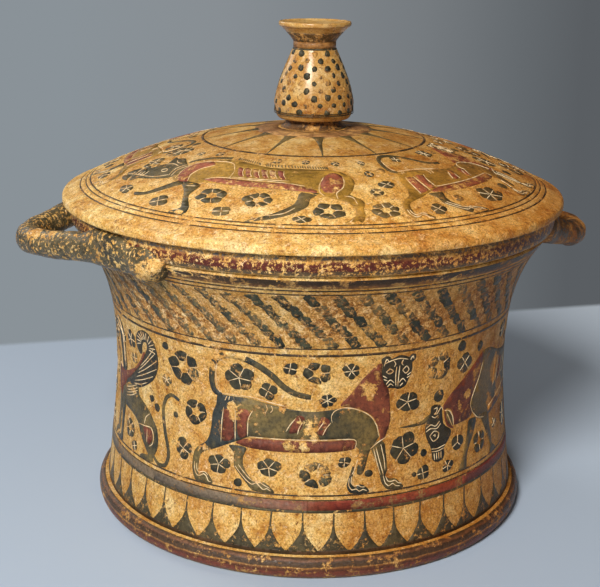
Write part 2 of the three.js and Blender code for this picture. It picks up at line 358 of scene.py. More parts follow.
def smooth(points, steps=4, closed=True, tension=0.42):
    """A curve through a few given points."""
    count = len(points)
    spans = count if closed else count - 1
    curve = []
    for i in range(spans):
        before, start, end, after = (
            points[(i + step) % count] if closed else points[min(max(i + step, 0), count - 1)]
            for step in (-1, 0, 1, 2))
        for step in range(steps):
            t = step / steps
            pull = []
            for axis in (0, 1):
                leave = tension * (end[axis] - before[axis])
                arrive = tension * (after[axis] - start[axis])
                pull.append((2 * t ** 3 - 3 * t ** 2 + 1) * start[axis] + (t ** 3 - 2 * t ** 2 + t) * leave
                            + (3 * t ** 2 - 2 * t ** 3) * end[axis] + (t ** 3 - t ** 2) * arrive)
            curve.append(tuple(pull))
    if not closed:
        curve.append(tuple(points[-1]))
    return curve


def stroke(points, width, blunt=0.35, steps=4):
    """The outline of a brush stroke or a scratched line along a curve."""
    path = smooth(points, steps, closed=False)
    left = []
    right = []
    for i, (x, y) in enumerate(path):
        ahead = path[min(i + 1, len(path) - 1)]
        behind = path[max(i - 1, 0)]
        length = hypot(ahead[0] - behind[0], ahead[1] - behind[1]) or 1
        side = ((ahead[1] - behind[1]) / length, -(ahead[0] - behind[0]) / length)
        press = width / 2 * (blunt + (1 - blunt) * sin(pi * i / (len(path) - 1)) ** 0.4)
        left.append((x - side[0] * press, y - side[1] * press))
        right.append((x + side[0] * press, y + side[1] * press))
    return right + left[::-1]


def brushed(layer, outline, place, lift, cell=3.5):
    """Fills an outline, cuts it fine enough to follow the curved surface, and lays it on, a hair
    higher or lower than the one before it, so that no two strokes share a surface."""
    area = sum(x1 * y2 - x2 * y1 for (x1, y1), (x2, y2) in zip(outline, outline[1:] + outline[:1]))
    flat = bmesh.new()
    flat.faces.new([flat.verts.new((x, y, 0)) for x, y in (outline if area > 0 else outline[::-1])])
    flat.normal_update()
    bmesh.ops.triangulate(flat, faces=flat.faces)
    for axis, spacing in ((0, cell), (1, cell * 1.5)):
        low = min(point[axis] for point in outline)
        high = max(point[axis] for point in outline)
        for i in range(1, ceil((high - low) / spacing)):
            cut = [0, 0, 0]
            cut[axis] = low + i * spacing
            bmesh.ops.bisect_plane(flat, geom=flat.verts[:] + flat.edges[:] + flat.faces[:],
                                   plane_co=cut, plane_no=(1 - axis, axis, 0))
    layer["count"] += 1
    lift += overlap_step * (layer["count"] % 8)
    for point in flat.verts:
        point.co = place(point.co.x, point.co.y, lift)
    shape = bpy.data.meshes.new("shape")
    flat.to_mesh(shape)
    flat.free()
    layer["mesh"].from_mesh(shape)
    bpy.data.meshes.remove(shape)


def new_layer():
    return {"mesh": bmesh.new(), "count": 0}


def coat(layer, name, material, rides, thickness):
    """Gives a painted layer its thickness, down into the clay."""
    piece = finished(layer["mesh"], name, material, rides)
    solid = piece.modifiers.new("thickness", "SOLIDIFY")
    solid.thickness = thickness * MM
    solid.offset = -1
    return piece


def away_from(tree, place, centre):
    """Distance from a point that is given in millimetres."""
    away = node(tree, "VectorMath", operation="DISTANCE")
    tree.links.new(place, away.inputs[0])
    away.inputs[1].default_value = centre * MM
    return away.outputs["Value"]


def sway(tree, place, reach, size, detail, rough):
    """Noise about nought, to and fro by up to half the reach in millimetres."""
    centred = sums(tree, "SUBTRACT", speckle(tree, place, size, detail, rough), 0.5)
    return sums(tree, "MULTIPLY", centred, reach * MM)


def slip(name, dark, light, worn, flake=7, trace=(150, 104, 58), rough=0.42, halo=0.10, specks=0.35,
         bared=(), bands=(), tint=None):
    """Slip that has flaked off where a noise is under worn, which bares the clay under it.
    It stains the clay round its flakes, and is gone from the given (place, radius)s. Bands are
    washes that run into one another, as (height, colour, share of it that has held), in place
    of dark and light. A tint is (place, radius, colour) of a patch fired to another colour."""
    material, tree, shader, place = new_material(name)
    bare = clay_colour(tree, place)
    fine = sums(tree, "SUBTRACT", speckle(tree, place, 1.4, 6, 0.75), 0.5)
    broad = sums(tree, "MULTIPLY_ADD", fine, specks, speckle(tree, place, flake, 9, 0.72, 0.3))
    if bands:
        low = bands[0][0]
        rise = bands[-1][0] - low
        wander = sums(tree, "SUBTRACT", speckle(tree, place, 9, 4, 0.6), 0.5 + low / 2)
        share = sums(tree, "DIVIDE", sums(tree, "MULTIPLY_ADD", wander, 2, height_of(tree, place)), rise)
        tone = ramp(tree, share, [((z - low) / rise, shade(*colour)) for z, colour, held in bands])
        lost = ramp(tree, share, [((z - low) / rise, 1 - held) for z, colour, held in bands])
        broad = sums(tree, "MULTIPLY_ADD", lost, -0.22, broad)
    else:
        tone = ramp(tree, speckle(tree, place, 18, 6, 0.65), [(0.38, shade(*dark)), (0.62, shade(*light))])
    if tint:
        centre, radius, colour = tint
        reach = sums(tree, "ADD", away_from(tree, place, centre), sway(tree, place, 70, 16, 5, 0.7))
        near = span(tree, reach, 0.6 * radius * MM, radius * MM, 1.0, 0.0)
        tone = blend(tree, near, tone, shade(*colour))
    grime = ramp(tree, speckle(tree, place, 1.6, 6, 0.7), [
        (0.38, (0.62, 0.6, 0.56, 1)), (0.5, (1, 1, 1, 1)), (0.64, (1.3, 1.28, 1.22, 1))])
    tone = blend(tree, 1.0, tone, grime, "MULTIPLY")
    ragged = sway(tree, place, 15, 3.6, 7, 0.75)
    for centre, radius in bared:
        reach = sums(tree, "ADD", away_from(tree, place, centre), ragged)
        gone = span(tree, reach, 0.5 * radius * MM, 1.15 * radius * MM, 0.4, 0.0)
        broad = sums(tree, "SUBTRACT", broad, gone)
    stays = ramp(tree, broad, [(worn - 0.012, 0), (worn + 0.012, 1)])
    stain = ramp(tree, broad, [(worn - halo, 0), (worn - 0.01, 0.8)])
    stained = blend(tree, stain, bare, shade(*trace))
    tree.links.new(painted_side_shade(tree, place, blend(tree, stays, stained, tone)), shader.inputs["Base Color"])
    gloss = ramp(tree, stays, [(0, 0.62), (1, rough)])
    tree.links.new(gloss, shader.inputs["Roughness"])
    shader.inputs["Specular IOR Level"].default_value = 0.35
    roughened(tree, place, shader, 0.45, stays)
    return material


# Places on the frieze, as (x, height, radius), where the paint of the front beasts is lost.
lost_paint = [(on_wall(x, z, 0), radius) for x, z, radius in (
    (25, 80, 3.6), (0.4, 64.6, 3), (-3.4, 67.4, 2.2), (2.6, 61, 2), (-32.4, 72.4, 2.6), (-32, 68, 1.6),
    (-10.8, 73.4, 1.7), (-7.6, 56.6, 2), (-1.6, 57, 2.4), (83, 77.4, 2.6), (77, 69, 2.4), (72, 65.6, 1.6),
    (18.6, 50.6, 3), (-46, 50.6, 1.8), (-38.6, 92.8, 2.6), (-34, 94.4, 3.4), (-29, 94.4, 3),
    (-41.4, 89, 1.4), (104, 74, 7), (112, 62, 6), (98, 60, 4), (-94, 62.6, 2), (-84, 88, 2))]
dark_slip = slip("dark_slip", (42, 43, 35), (76, 70, 48), 0.395, 5, specks=0.6)
head_slip = slip("head_slip", (40, 38, 30), (66, 60, 44), 0.36, 3, specks=0.7)
beast_slip = slip("beast_slip", (46, 50, 44), (126, 107, 62), 0.375, 7, specks=0.6, bared=lost_paint,
                  tint=(on_wall(-46, 66, 0), 19, (56, 60, 58)))
thin_slip = slip("thin_slip", (44, 50, 40), (82, 82, 60), 0.45, 5, (132, 98, 60), specks=0.9)
faded_slip = slip("faded_slip", (72, 72, 54), (120, 106, 72), 0.515, 3.2, (148, 110, 64), 0.5, specks=1.0)
tongue_slip = slip("tongue_slip", (58, 54, 40), (90, 80, 54), 0.42, 4.5, (128, 92, 50), specks=0.7)
line_slip = slip("line_slip", (54, 42, 27), (88, 68, 42), 0.43, 6, specks=0.6)
red_paint = slip("added_red", (98, 46, 32), (136, 74, 52), 0.42, 7, (150, 92, 56), 0.5, specks=0.5,
                 bared=lost_paint)
band_red = slip("band_red", (128, 48, 32), (152, 76, 50), 0.42, 11, (122, 98, 76), 0.5, 0.16, 0.5,
                tint=(on_wall(-92, 31, 0), 98, (122, 106, 88)))
scratch, scratch_tree, scratch_shader, scratch_place = new_material("scratched_line")
scratch_tone = ramp(scratch_tree, speckle(scratch_tree, scratch_place, 3), [
    (0.38, shade(206, 160, 102)), (0.58, shade(246, 220, 176))])
scratch_tree.links.new(scratch_tone, scratch_shader.inputs["Base Color"])
scratch_shader.inputs["Roughness"].default_value = 0.75
wall_layers = {part: new_layer() for part in (
    "slip", "beast", "head", "tongues", "worn", "faded", "lines", "band", "red", "cut")}
wall_layers["trunk"] = wall_layers["beast"]
chance = random.Random(7)


def painted_ring(layer, low, height, around, parts, place, lift, cell=4):
    """A line painted right round, as lengths that meet."""
    top = low + height
    for i in range(parts):
        start = i * (around / parts)
        end = start + around / parts
        brushed(layer, [(start, low), (end, low), (end, top), (start, top)], place, lift, cell)


tongue_count = 46
tongue_pitch = wall_around / tongue_count
tongue_shift = 0.34
tongue_top = 28
tongue_edge = [(0, 11.3), (0.08, 12.4), (0.24, 15), (0.38, 17.9), (0.44, 20), (0.468, 22.5),
               (0.475, 28.2), (0.525, 28.2), (0.532, 22.5), (0.56, 20), (0.62, 17.9), (0.76, 15),
               (0.92, 12.4), (1, 11.3)]
for i in range(tongue_count):
    # The dark ground between two tongues, from their pointed tips up to a thin stem.
    left = (i + tongue_shift) * tongue_pitch
    lean = chance.uniform(-0.5, 0.5)
    tip = chance.uniform(-0.5, 0.5)
    ground = [(left + lean * (z < tongue_top) + share * tongue_pitch, z + tip * (12 < z < 21))
              for share, z in tongue_edge]
    ground += [(left + lean + tongue_pitch, wall_bottom), (left + lean, wall_bottom)]
    brushed(wall_layers["tongues"], ground, on_wall, paint_lift)
for part, z, height, lift in (
        ("tongues", tongue_top, 1.2, paint_lift), ("band", 29.2, 4, red_lift),
        ("lines", 33.3, 0.5, paint_lift), ("lines", 35.2, 0.7, paint_lift),
        ("lines", 96.6, 1.1, paint_lift), ("lines", 99.9, 0.6, paint_lift),
        ("lines", 125.6, 0.6, paint_lift), ("lines", 127.5, 0.7, paint_lift)):
    painted_ring(wall_layers[part], z, height, wall_around, 8, on_wall, lift)
row_count = 58
row_pitch = wall_around / row_count
rows_top = 122.6
dab_count = 5
dab_step = 4.3
dab_drop = 4.85
dab_outline = [(-3.2, 1.6), (-1.4, 2.7), (1, 2.3), (1.8, 0.6), (3.4, -1.4), (2.2, -2.9), (-0.4, -2.5),
               (-1.6, -0.4)]
rubbed_from = -96
rubbed_to = -20
for i in range(row_count):
    # One slanting row: dabs that step down to the right, each touching the next.
    for step in range(dab_count):
        x = i * row_pitch + step * dab_step + chance.uniform(-0.4, 0.4)
        z = rows_top - step * dab_drop + chance.uniform(-0.3, 0.3)
        dab = [(x + dx * chance.uniform(0.85, 1.25), z + dz * chance.uniform(0.85, 1.2))
               for dx, dz in dab_outline]
        rubbed_side = rubbed_from < x - wall_around < rubbed_to
        faded = chance.random() < (0.75 if rubbed_side else 0.34)
        brushed(wall_layers["faded" if faded else "worn"], smooth(dab, 3), on_wall, paint_lift)

# The beasts of the frieze
# Each is a dark silhouette with red laid on its neck, belly and ribs, and with its outlines,
# ribs and eyes scratched through to the clay. Its points are in millimetres, y from the line
# that it walks on. The panther walks to the right; the others stand to the left.
panther = {
    "trunk": [
        # back, shoulder, belly and the far hind leg
        [(12, 40.2), (17, 40.4), (26, 40.4), (34, 39), (43, 37.2), (52, 36.2), (60, 37), (65.2, 37.8),
         (69.5, 37.2), (74, 35.4), (77.5, 32.8), (80, 28.5), (80.9, 24), (78.5, 20.6), (76.5, 17),
         (75, 11.5), (73.6, 8.3), (71.4, 8.6), (71.8, 13), (72.4, 18.6), (70.4, 21), (69, 23.9),
         (57, 23.6), (40, 23.4), (27, 23.4), (22, 21.4), (17, 19), (11.5, 16.2), (5.4, 13.4),
         (3.6, 10.6), (3.2, 6), (3.4, 2.8), (6.4, 4.6), (8.4, 3.8), (10.4, 0.2), (2.4, 0), (0.2, 4.6),
         (0.1, 8.4), (0.8, 12.6), (3, 15.6), (6.4, 18.2), (8.2, 22), (8.9, 27), (9.3, 31.4), (11, 35.6)],
    ],
    "beast": [
        # near hind leg
        [(17.4, 18.6), (19.6, 15.4), (19.9, 10), (22.4, 6.6), (25.4, 3.4), (28.6, 0.3), (37.2, 0),
         (36, 2.2), (33, 4.4), (30.4, 3.6), (28, 5), (25.8, 7.4), (24, 10.6), (23.8, 14.4), (25, 18.6)],
        # far foreleg, below the flaked knee
        [(70.2, 13.6), (68.4, 8.4), (67.1, 3.6), (68.2, 0.8), (70.4, 0), (76.4, 0.1), (75.6, 2.2),
         (72.8, 3.9), (70.6, 2.7), (69.2, 5.4), (70, 9.4)],
        # near foreleg, stepping out
        [(77.4, 19.6), (79, 15), (80.8, 8.6), (82, 3.6), (84, 0.7), (86, 0), (91.6, 0.1), (91, 1.8),
         (88, 4.7), (85.8, 4.9), (83.8, 6.4), (84.6, 9.2), (84.2, 15), (83.4, 20.8), (80.6, 22.2)],
    ],
    "head": [
        # full-face head with round ears
        [(80.9, 56.8), (80.8, 58.4), (82.6, 59.6), (84.4, 59.2), (85.5, 58.2), (88.8, 59.4), (92, 58.6),
         (93.2, 58.1), (94.6, 59.3), (96.4, 58.7), (96.3, 56.6), (94.9, 55.4), (95.2, 53), (94.8, 50.4),
         (93.6, 47.6), (92.4, 45.2), (89.6, 44.1), (87, 44.8), (83.4, 45.4), (82, 47.8), (80.9, 51.4),
         (81.4, 54.6)],
    ],
    "brush": [
        # the tail, up from the rump and down over the back
        ([(13.6, 40), (10.4, 41.8), (9.2, 45.6), (9.4, 50), (10.6, 54.6), (14.4, 58), (19.6, 58.8),
          (25, 57.8), (31, 55), (36, 51.4), (40.6, 47), (45.6, 44), (52, 42.6)], 2.8),
    ],
    "red": [
        [(64.2, 39.2), (68.4, 43.8), (73.4, 50.4), (78.6, 55.4), (81, 56.4), (81.2, 51.6), (82.4, 47.6),
         (84.6, 44.6), (85.5, 38.4), (86, 31.4), (84.8, 26.4), (83.2, 22.8), (81.4, 21.6), (81.4, 24.4),
         (80.4, 28.8), (77.9, 33.2), (74.2, 35.9), (69.6, 37.7), (66, 38.3)],
        [(20.4, 20.2), (24.4, 22.4), (30, 23.1), (45, 23.2), (60, 23.3), (70, 23.2), (70.2, 19.6),
         (62, 18.6), (50, 18.3), (36, 18.3), (26, 18.8)],
        [(14.8, 33.8), (17, 34.2), (19.2, 33.4), (19.1, 27), (19.2, 21.6), (14.2, 20.2), (14.2, 27)],
        [(21.4, 34.6), (24.6, 35.4), (26.6, 33.8), (24.9, 29.6), (25, 24), (22, 22.6), (20.8, 26.4)],
        [(46.4, 34.2), (49.6, 33.2), (47.4, 27.6), (43, 26.8)],
        [(56.4, 33.8), (60, 32), (57.6, 26), (54.4, 27.2)],
    ],
    "cut": [
        [(60.9, 31.4), (60.5, 34.2), (62, 36.6), (65.4, 37.8), (69.6, 37.3), (74, 35.5), (77.5, 32.9),
         (80, 28.6), (80.9, 24)],
        [(77, 18.8), (80.4, 21.4), (84.6, 23.6)],
        [(26, 23.6), (40, 23.7), (57, 23.8), (70.2, 23.6), (70.6, 19.8)],
        [(14.6, 34.8), (13.7, 28), (13.6, 19.4)],
        [(19.9, 34.6), (19.9, 28), (20.1, 21)],
        [(27.6, 35.2), (25.7, 31), (25.5, 23.4)],
        [(46, 33.4), (43.6, 30.4), (41.8, 27.2)], [(48.6, 31.4), (47.2, 28.8), (46.6, 26.2)],
        [(57.6, 32), (54.8, 27.8)], [(60.4, 31.4), (58.4, 28.8), (57, 25.8)],
        [(33.2, 38.6), (33.9, 36.6), (33, 34.8)], [(35.6, 38.2), (36.1, 36.4), (35.2, 35)],
        [(16.2, 40.2), (15.2, 38)], [(17.4, 40.2), (17, 38.4)],
        # two wavy lines down each paw
        [(1.2, 8), (1.4, 4.6), (2.8, 2.4), (4.4, 2.6), (6, 3.6), (7.4, 2.8), (8.4, 1), (9.6, 0.8)],
        [(2.2, 7.6), (2.6, 5), (3.6, 3.8), (5.2, 4.4), (6.6, 4.6), (8.2, 3.4)],
        [(20.4, 10), (22.8, 7.2), (25.4, 4.6), (28, 3), (29.8, 3.8), (31.4, 2.4), (33, 1.2), (34.4, 1.8),
         (36, 0.8)],
        [(21.8, 10.8), (24.2, 8), (26.6, 5.6), (28.8, 4.4), (30.6, 4.8), (32.4, 3.6), (34, 2.8), (35.6, 2)],
        [(68.2, 7), (68, 3.8), (69.2, 1.8), (71, 2), (72.4, 1), (74, 1.6), (75.6, 0.8)],
        [(69.2, 7.6), (69, 5), (70.2, 3.4), (71.8, 3.6), (73.2, 2.8), (74.8, 2.6)],
        [(82.8, 6.6), (83.6, 3.4), (85.2, 1.8), (87, 2.6), (88.4, 1.4), (90.4, 1)],
        [(83.8, 6.2), (84.8, 4), (86.4, 3.6), (88, 3.8), (89.4, 2.6), (91, 2)],
        [(79.6, 19.6), (81, 14), (82.4, 8.8), (82.8, 7)], [(78.6, 19), (80.2, 12), (81.6, 7)],
        [(81.8, 20.4), (83.2, 14), (83.6, 9)], [(71.8, 15), (70.6, 11), (69.4, 8.4)],
        [(13, 41.4), (11.6, 44), (11.2, 50), (12, 54)], [(14, 41), (26, 41.2), (34, 39.8), (43, 38)],
        # face: brow, nose, eyes and muzzle
        [(82.2, 56.2), (85.6, 57.4), (89.2, 57.9), (92.8, 57)], [(82, 55), (83, 58.2), (84.2, 56.8)],
        [(94, 56.6), (95, 58.2), (95.6, 56.8)],
        [(87.8, 54.4), (87.6, 50), (88, 45.2)], [(89.2, 54.6), (89, 50), (88.8, 45.2)],
        [(83.2, 52.4), (84.8, 53.6), (86.4, 52.4), (84.8, 51.4), (83.2, 52.4)],
        [(90.6, 52.4), (92.4, 54), (93.6, 52.2), (92.2, 50.8), (90.6, 52.4)],
        [(83.4, 46.8), (85.2, 48.6), (87.2, 47)], [(89.4, 47), (91, 48.6), (92.6, 46.8)],
        [(84, 45.6), (85.4, 46.8), (86.8, 45.8)], [(89.8, 45.4), (91.2, 46.6)],
        [(81.8, 50.8), (83.8, 49.6)], [(82.2, 49.2), (84, 48.4)], [(94.8, 51), (93, 49.8)],
        [(94.4, 49.4), (92.8, 48.6)], [(86.4, 57), (87.2, 55.6), (86.6, 54.4)],
        [(90.6, 57.2), (90, 55.6), (90.8, 54.6)],
    ],
}
bull = {
    "head": [
        # head, held low
        [(9, 30.2), (9.6, 33.1), (12.3, 33.4), (15.2, 31.8), (15.8, 27.1), (16.8, 23.4), (20.6, 20.4),
         (20.8, 18.4), (19, 15.8), (16.4, 13.1), (16.6, 10.2), (15.6, 8.2), (12.6, 7.5), (10, 9),
         (9.6, 12), (8.6, 15.9), (6.8, 19.7), (6.2, 23.7), (7.6, 27.4)],
    ],
    "trunk": [
        # shoulder, trunk and the far hind leg
        [(36.2, 24), (35, 27.8), (37, 32.6), (41, 38.6), (43.6, 45), (43, 50.4), (50, 50.4), (60, 46.6),
         (72, 44), (84, 44.2), (93, 44.4), (99, 41), (101.6, 35), (100.6, 28), (98, 21), (98.6, 14.6),
         (101, 9), (100.6, 4), (103, 0.2), (95.4, 0), (96.2, 4), (94.6, 9), (91.4, 15), (87, 20.6),
         (79, 22.4), (70, 21.4), (60, 20), (51, 18.4), (46, 18), (40, 20)],
    ],
    "beast": [
        # horn
        [(-6.8, 26.5), (0, 27), (4.2, 27.5), (8.4, 29.6), (9.6, 28.6), (6.4, 26.2), (0, 25.8)],
        # forelegs
        [(33.4, 21), (38.8, 20.6), (38, 17), (35.4, 12.6), (32.4, 8.4), (30.8, 4.6), (30.2, 0.1), (25.2, 0),
         (26.2, 2.4), (28, 5.2), (29.4, 9), (31, 13), (32.2, 17)],
        [(43, 20.4), (50.4, 19.4), (51.4, 13.4), (53.2, 8.4), (53.6, 3.8), (56.8, 1.4), (57, 0), (51, 0),
         (51.2, 3.6), (49.6, 8), (46.8, 13)],
        # near hind leg
        [(80, 22.6), (90, 21), (88, 14.6), (86.4, 9), (86.2, 4), (87.6, 0), (80.4, 0), (82, 4), (82.6, 9),
         (82.2, 14)],
        # ear
        [(17.6, 27.6), (18.6, 29.4), (20.4, 28.4), (22, 25.2), (22.2, 22.2), (20.8, 21.4), (18.8, 23.4)],
    ],
    "brush": [([(100.6, 39), (104.4, 35), (105.4, 27), (104.2, 19), (105.6, 12.6)], 1.7)],
    "red": [
        [(16.4, 32.2), (20.6, 36.4), (27, 40.6), (34.8, 45.8), (42.4, 50.4), (43, 45.4), (40.4, 39),
         (36.4, 33), (34.4, 28), (35.6, 24), (33.4, 22.2), (28, 21.7), (22.8, 21.8), (22.8, 25),
         (21, 29), (18.4, 30.4), (17, 29.8)],
        [(16.9, 29.4), (17.2, 26), (18.4, 22.6), (20.8, 20.8), (22.6, 20.6), (20, 22.8), (18, 26),
         (17.7, 28.8)],
        [(52, 19.6), (60, 21.2), (70, 22.7), (79, 23.6), (79, 26.4), (68, 25.4), (58, 24), (51.4, 22)],
        [(58, 42), (62, 41), (60, 33), (56, 30)], [(66, 40.6), (69.6, 40.2), (67, 32.6), (63.6, 31)],
        [(88, 38), (93, 40), (97, 36), (96, 30), (91.6, 27.4), (87.4, 31)],
    ],
    "cut": [
        [(6.6, 23.6), (9.2, 24.9), (11.8, 23.8), (14.2, 25.6)],
        [(6.6, 22.2), (9.1, 23.2), (12.5, 22.6), (14.8, 24.4)],
        [(8.6, 20), (11.1, 21.7), (13.6, 20.4), (13, 18.2), (10.4, 17.3), (8.6, 20)],
        [(10.6, 19.8), (11.6, 20), (11.4, 19)],
        [(11, 31.6), (12.6, 32), (12.4, 30.2), (11.2, 29.2), (13, 29.4), (15, 31.8), (16, 30)],
        [(9.8, 28.6), (11.6, 27.6), (13.4, 28.4)],
        [(9.6, 12.8), (13, 12.4), (16.4, 13)], [(9.4, 14), (13, 13.6), (17.4, 14.4)],
        *[[(10.8 + 1.3 * i, 11.8), (11 + 1.2 * i, 8.6)] for i in range(4)],
        [(17.3, 29.6), (20, 28.8), (22.2, 25.4), (22.5, 21.8)], [(18.8, 27.6), (20.4, 24.4), (21.6, 21.8)],
        [(36.4, 23.6), (34.6, 27.8), (37, 33), (40.8, 38.8), (43.4, 45)],
        [(36.2, 24), (40, 20.4), (46, 18.6)],
        [(56, 30.4), (60.2, 33), (62.2, 41)], [(63.6, 31), (67, 33), (69.8, 40.2)],
        [(71, 32), (74, 34), (76.4, 40)], [(51.4, 22.2), (60, 24.2), (70, 25.6), (79.2, 26.6)],
        [(86.6, 22), (85, 27), (86.2, 33), (90, 38.6)], [(99.4, 34), (95.6, 30), (91.6, 26.8)],
    ],
}
sphinx = {
    "head": [
        # sickle wing
        [(13.4, 29.4), (17.6, 32), (22.2, 35.4), (28.4, 40.4), (33, 45), (35.8, 48.6), (37.7, 51.6),
         (37.4, 54), (35.2, 53.6), (33.8, 51), (33.6, 48.4), (31.4, 47.4), (29.2, 50), (28.6, 53.8),
         (31.2, 57.6), (35.2, 59.4), (39.4, 59.2), (42.8, 56.4), (44.9, 52.2), (45.5, 47.8), (44.6, 42.9),
         (41.4, 37.8), (35.4, 33.6), (29.5, 30.8), (24, 30.2), (17.3, 29.4), (14, 27.4)],
        # hair, falling to the shoulder
        [(3.6, 56.6), (7, 58.4), (11, 57.6), (14, 54), (15, 48.6), (15.4, 42), (16, 36), (13.4, 33.4),
         (10, 34), (9, 39), (8.4, 44), (7.2, 49.6), (4.2, 53.4)],
    ],
    "beast": [
        # trunk, haunch and hind foot
        [(9, 20), (9.6, 25), (13, 27.6), (17.4, 28.6), (24, 30.8), (28.4, 31), (29.4, 27.4), (34, 25),
         (38.4, 22.6), (41.8, 19.4), (44.8, 15.8), (46, 10), (45.2, 6), (43, 2.4), (42.6, 0.2), (33.4, 0),
         (35, 1.8), (39.2, 2.6), (36, 6.2), (32.4, 10.4), (30, 14), (26, 16.4), (20, 17.6), (14.4, 18.2)],
        # forelegs
        [(9, 21), (14.8, 19.8), (14.4, 12), (14, 4.4), (13.8, 0.1), (6.4, 0), (8, 2), (10.8, 2.8),
         (11.2, 10), (10, 15)],
        [(5.6, 24), (9.6, 21), (9.6, 14), (9, 7), (8.4, 3.4), (5.4, 2.4), (3.6, 0.4), (1.6, 0.6), (3, 3.4),
         (5.6, 5), (6.4, 12)],
    ],
    "brush": [([(42.8, 3.8), (47, 0.9), (51.2, 1.7), (53, 6), (52.2, 10.8), (50.4, 15.6), (48.8, 22),
                (48.4, 27.4), (50.2, 32), (53.6, 34.4), (58.2, 33)], 1.9)],
    "bare": [
        # neck and a plain profile
        [(3.4, 55.8), (2.2, 53.6), (1.6, 51.2), (1.2, 49.6), (-0.2, 47), (0.2, 46.2), (1.2, 45.9),
         (0.7, 44.8), (1.3, 44), (0.9, 42.8), (1.6, 41.4), (4.2, 41.2), (5.4, 39), (5, 35.4), (10.4, 34),
         (10, 39), (9, 44), (7.6, 49.6), (5, 53.6)],
    ],
    "red": [
        # breast and the bar across the wing
        [(5.2, 35.2), (10, 33.8), (13.6, 33), (14.6, 29.6), (13, 26.8), (9.6, 24.6), (9, 21), (6, 22.4),
         (3.6, 26.4), (3.4, 31)],
        [(9.4, 31.6), (14, 34), (19.4, 36), (26.4, 39.6), (31.6, 44.6), (34.4, 49), (35.6, 48.6),
         (33, 44.4), (29.4, 40.6), (22.6, 35), (17.4, 31.4), (12, 28.6)],
        [(34.4, 14.4), (41, 14.2), (41.6, 10.4), (39.4, 7.4), (36.6, 9.6)],
    ],
    "cut": [
        # long feathers below, short ones round the hook, and the bands where the wing is rooted
        [(25, 32.8), (33, 35.6), (41.4, 39.5)], [(27, 35.2), (35, 38.8), (44.3, 43.7)],
        [(28.6, 37.4), (36, 41.6), (44.9, 47.7)], [(29.6, 39.2), (36, 44), (43.7, 50.7)],
        [(31.4, 41.6), (37, 46.4), (42.4, 52)], [(24, 31.2), (31, 32.8), (36.6, 35.4)],
        *[[(36.4 + 3.2 * cos(0.31 * i - 0.4), 52.4 + 2.8 * sin(0.31 * i - 0.4)),
           (36.6 + 7.4 * cos(0.31 * i - 0.2), 52 + 6.8 * sin(0.31 * i - 0.2))] for i in range(12)],
        [(15.6, 26.8), (21, 28.6), (26.9, 31.2)], [(16, 25.6), (22, 27.4), (27.7, 30.2)],
        [(16, 24.2), (22, 26.2), (27.8, 28.9)], [(16.1, 22.9), (22, 24.8), (26.9, 27.4)],
        [(30.6, 14.4), (35, 14.8), (40.4, 15.4), (42.6, 12), (42, 8.4), (39.6, 6.6)],
        [(37.6, 13.8), (37.8, 10), (38, 8)], [(38.8, 21.4), (36, 19), (35, 15.6)],
        [(3, 50.6), (4.6, 51.2), (5.6, 50.4), (4.4, 49.8), (3, 50.6)], [(2.6, 52.4), (4.4, 53), (6, 52.2)],
        [(1.4, 44.6), (3, 44.7)], [(4.4, 57), (8, 56), (11.4, 52), (12.6, 46), (13.2, 38)],
        [(6.6, 58), (10.6, 55.4), (13, 50), (14, 43), (14.4, 36)], [(3.8, 55), (7.6, 53), (14.6, 51.4)],
        [(5.4, 35.4), (9.6, 34.2)], [(8.6, 3), (6.8, 1.4)], [(10.6, 2.6), (8.8, 1.2)],
    ],
}
bird = {
    "beast": [
        [(-6, 12.4), (2, 16.6), (8, 21), (16, 23.4), (23, 22.6), (26.6, 26), (27.6, 32), (26.2, 38),
         (28, 41.4), (31.6, 41.8), (33.6, 40.4), (38, 38.4), (33.4, 37.6), (31.8, 34), (32.6, 26), (31, 19),
         (27, 13.2), (20, 9.4), (12, 9.4), (5, 11.4)],
    ],
    "brush": [([(16.6, 10), (17, 4), (17.6, 1)], 1.6), ([(22, 10), (22.8, 4), (23.2, 1)], 1.6),
              ([(15.4, 0.7), (18, 1.4), (20.6, 0.7)], 1.4), ([(21.8, 0.7), (24, 1.4), (27, 0.7)], 1.4)],
    "red": [[(9, 20), (15, 22), (21, 21), (25, 16.6), (20, 14), (12, 14), (5, 15)]],
    "cut": [[(26.4, 21.6), (24.6, 15), (18, 12.6), (10, 12.6)], [(22, 21.6), (20.6, 14.4)],
            [(1, 15), (8, 15.6), (20, 15.6)], [(-2, 13.6), (6, 13.2), (18, 13.8)],
            [(29.4, 40), (30.4, 40.6), (31, 39.8), (30, 39.2), (29.4, 40)], [(32.4, 40.6), (32.6, 38)],
            [(27.2, 30), (32, 30)], [(27, 27.6), (32.2, 27.6)]],
}
beasts_drawn = []


def beast(shapes, x, y, place, layers, size=1.0, facing=1):
    """Draws a beast with its own x = 0 at x, turned about if it faces the other way."""
    def put(points):
        return [(x + facing * size * px, y + size * py) for px, py in points]

    for part in ("trunk", "beast", "head"):
        for outline in shapes.get(part, ()):
            outline = smooth(put(outline))
            brushed(layers[part], outline, place, paint_lift)
            beasts_drawn.append(outline)
    for points, width in shapes["brush"]:
        outline = stroke(put(points), width * size, 0.7)
        brushed(layers["beast"], outline, place, paint_lift)
        beasts_drawn.append(outline)
    for outline in shapes["red"]:
        outline = smooth(put(outline))
        brushed(layers["red"], outline, place, red_lift)
        beasts_drawn.append(outline)
    for outline in shapes.get("bare", ()):
        line = smooth(put(outline))
        brushed(layers["slip"], stroke(put(outline + outline[:1]), 0.7, 0.8), place, red_lift)
        beasts_drawn.append(line)
    for line in shapes["cut"]:
        brushed(layers["cut"], stroke(put(line), scratch_width, 0.3), place, cut_lift)


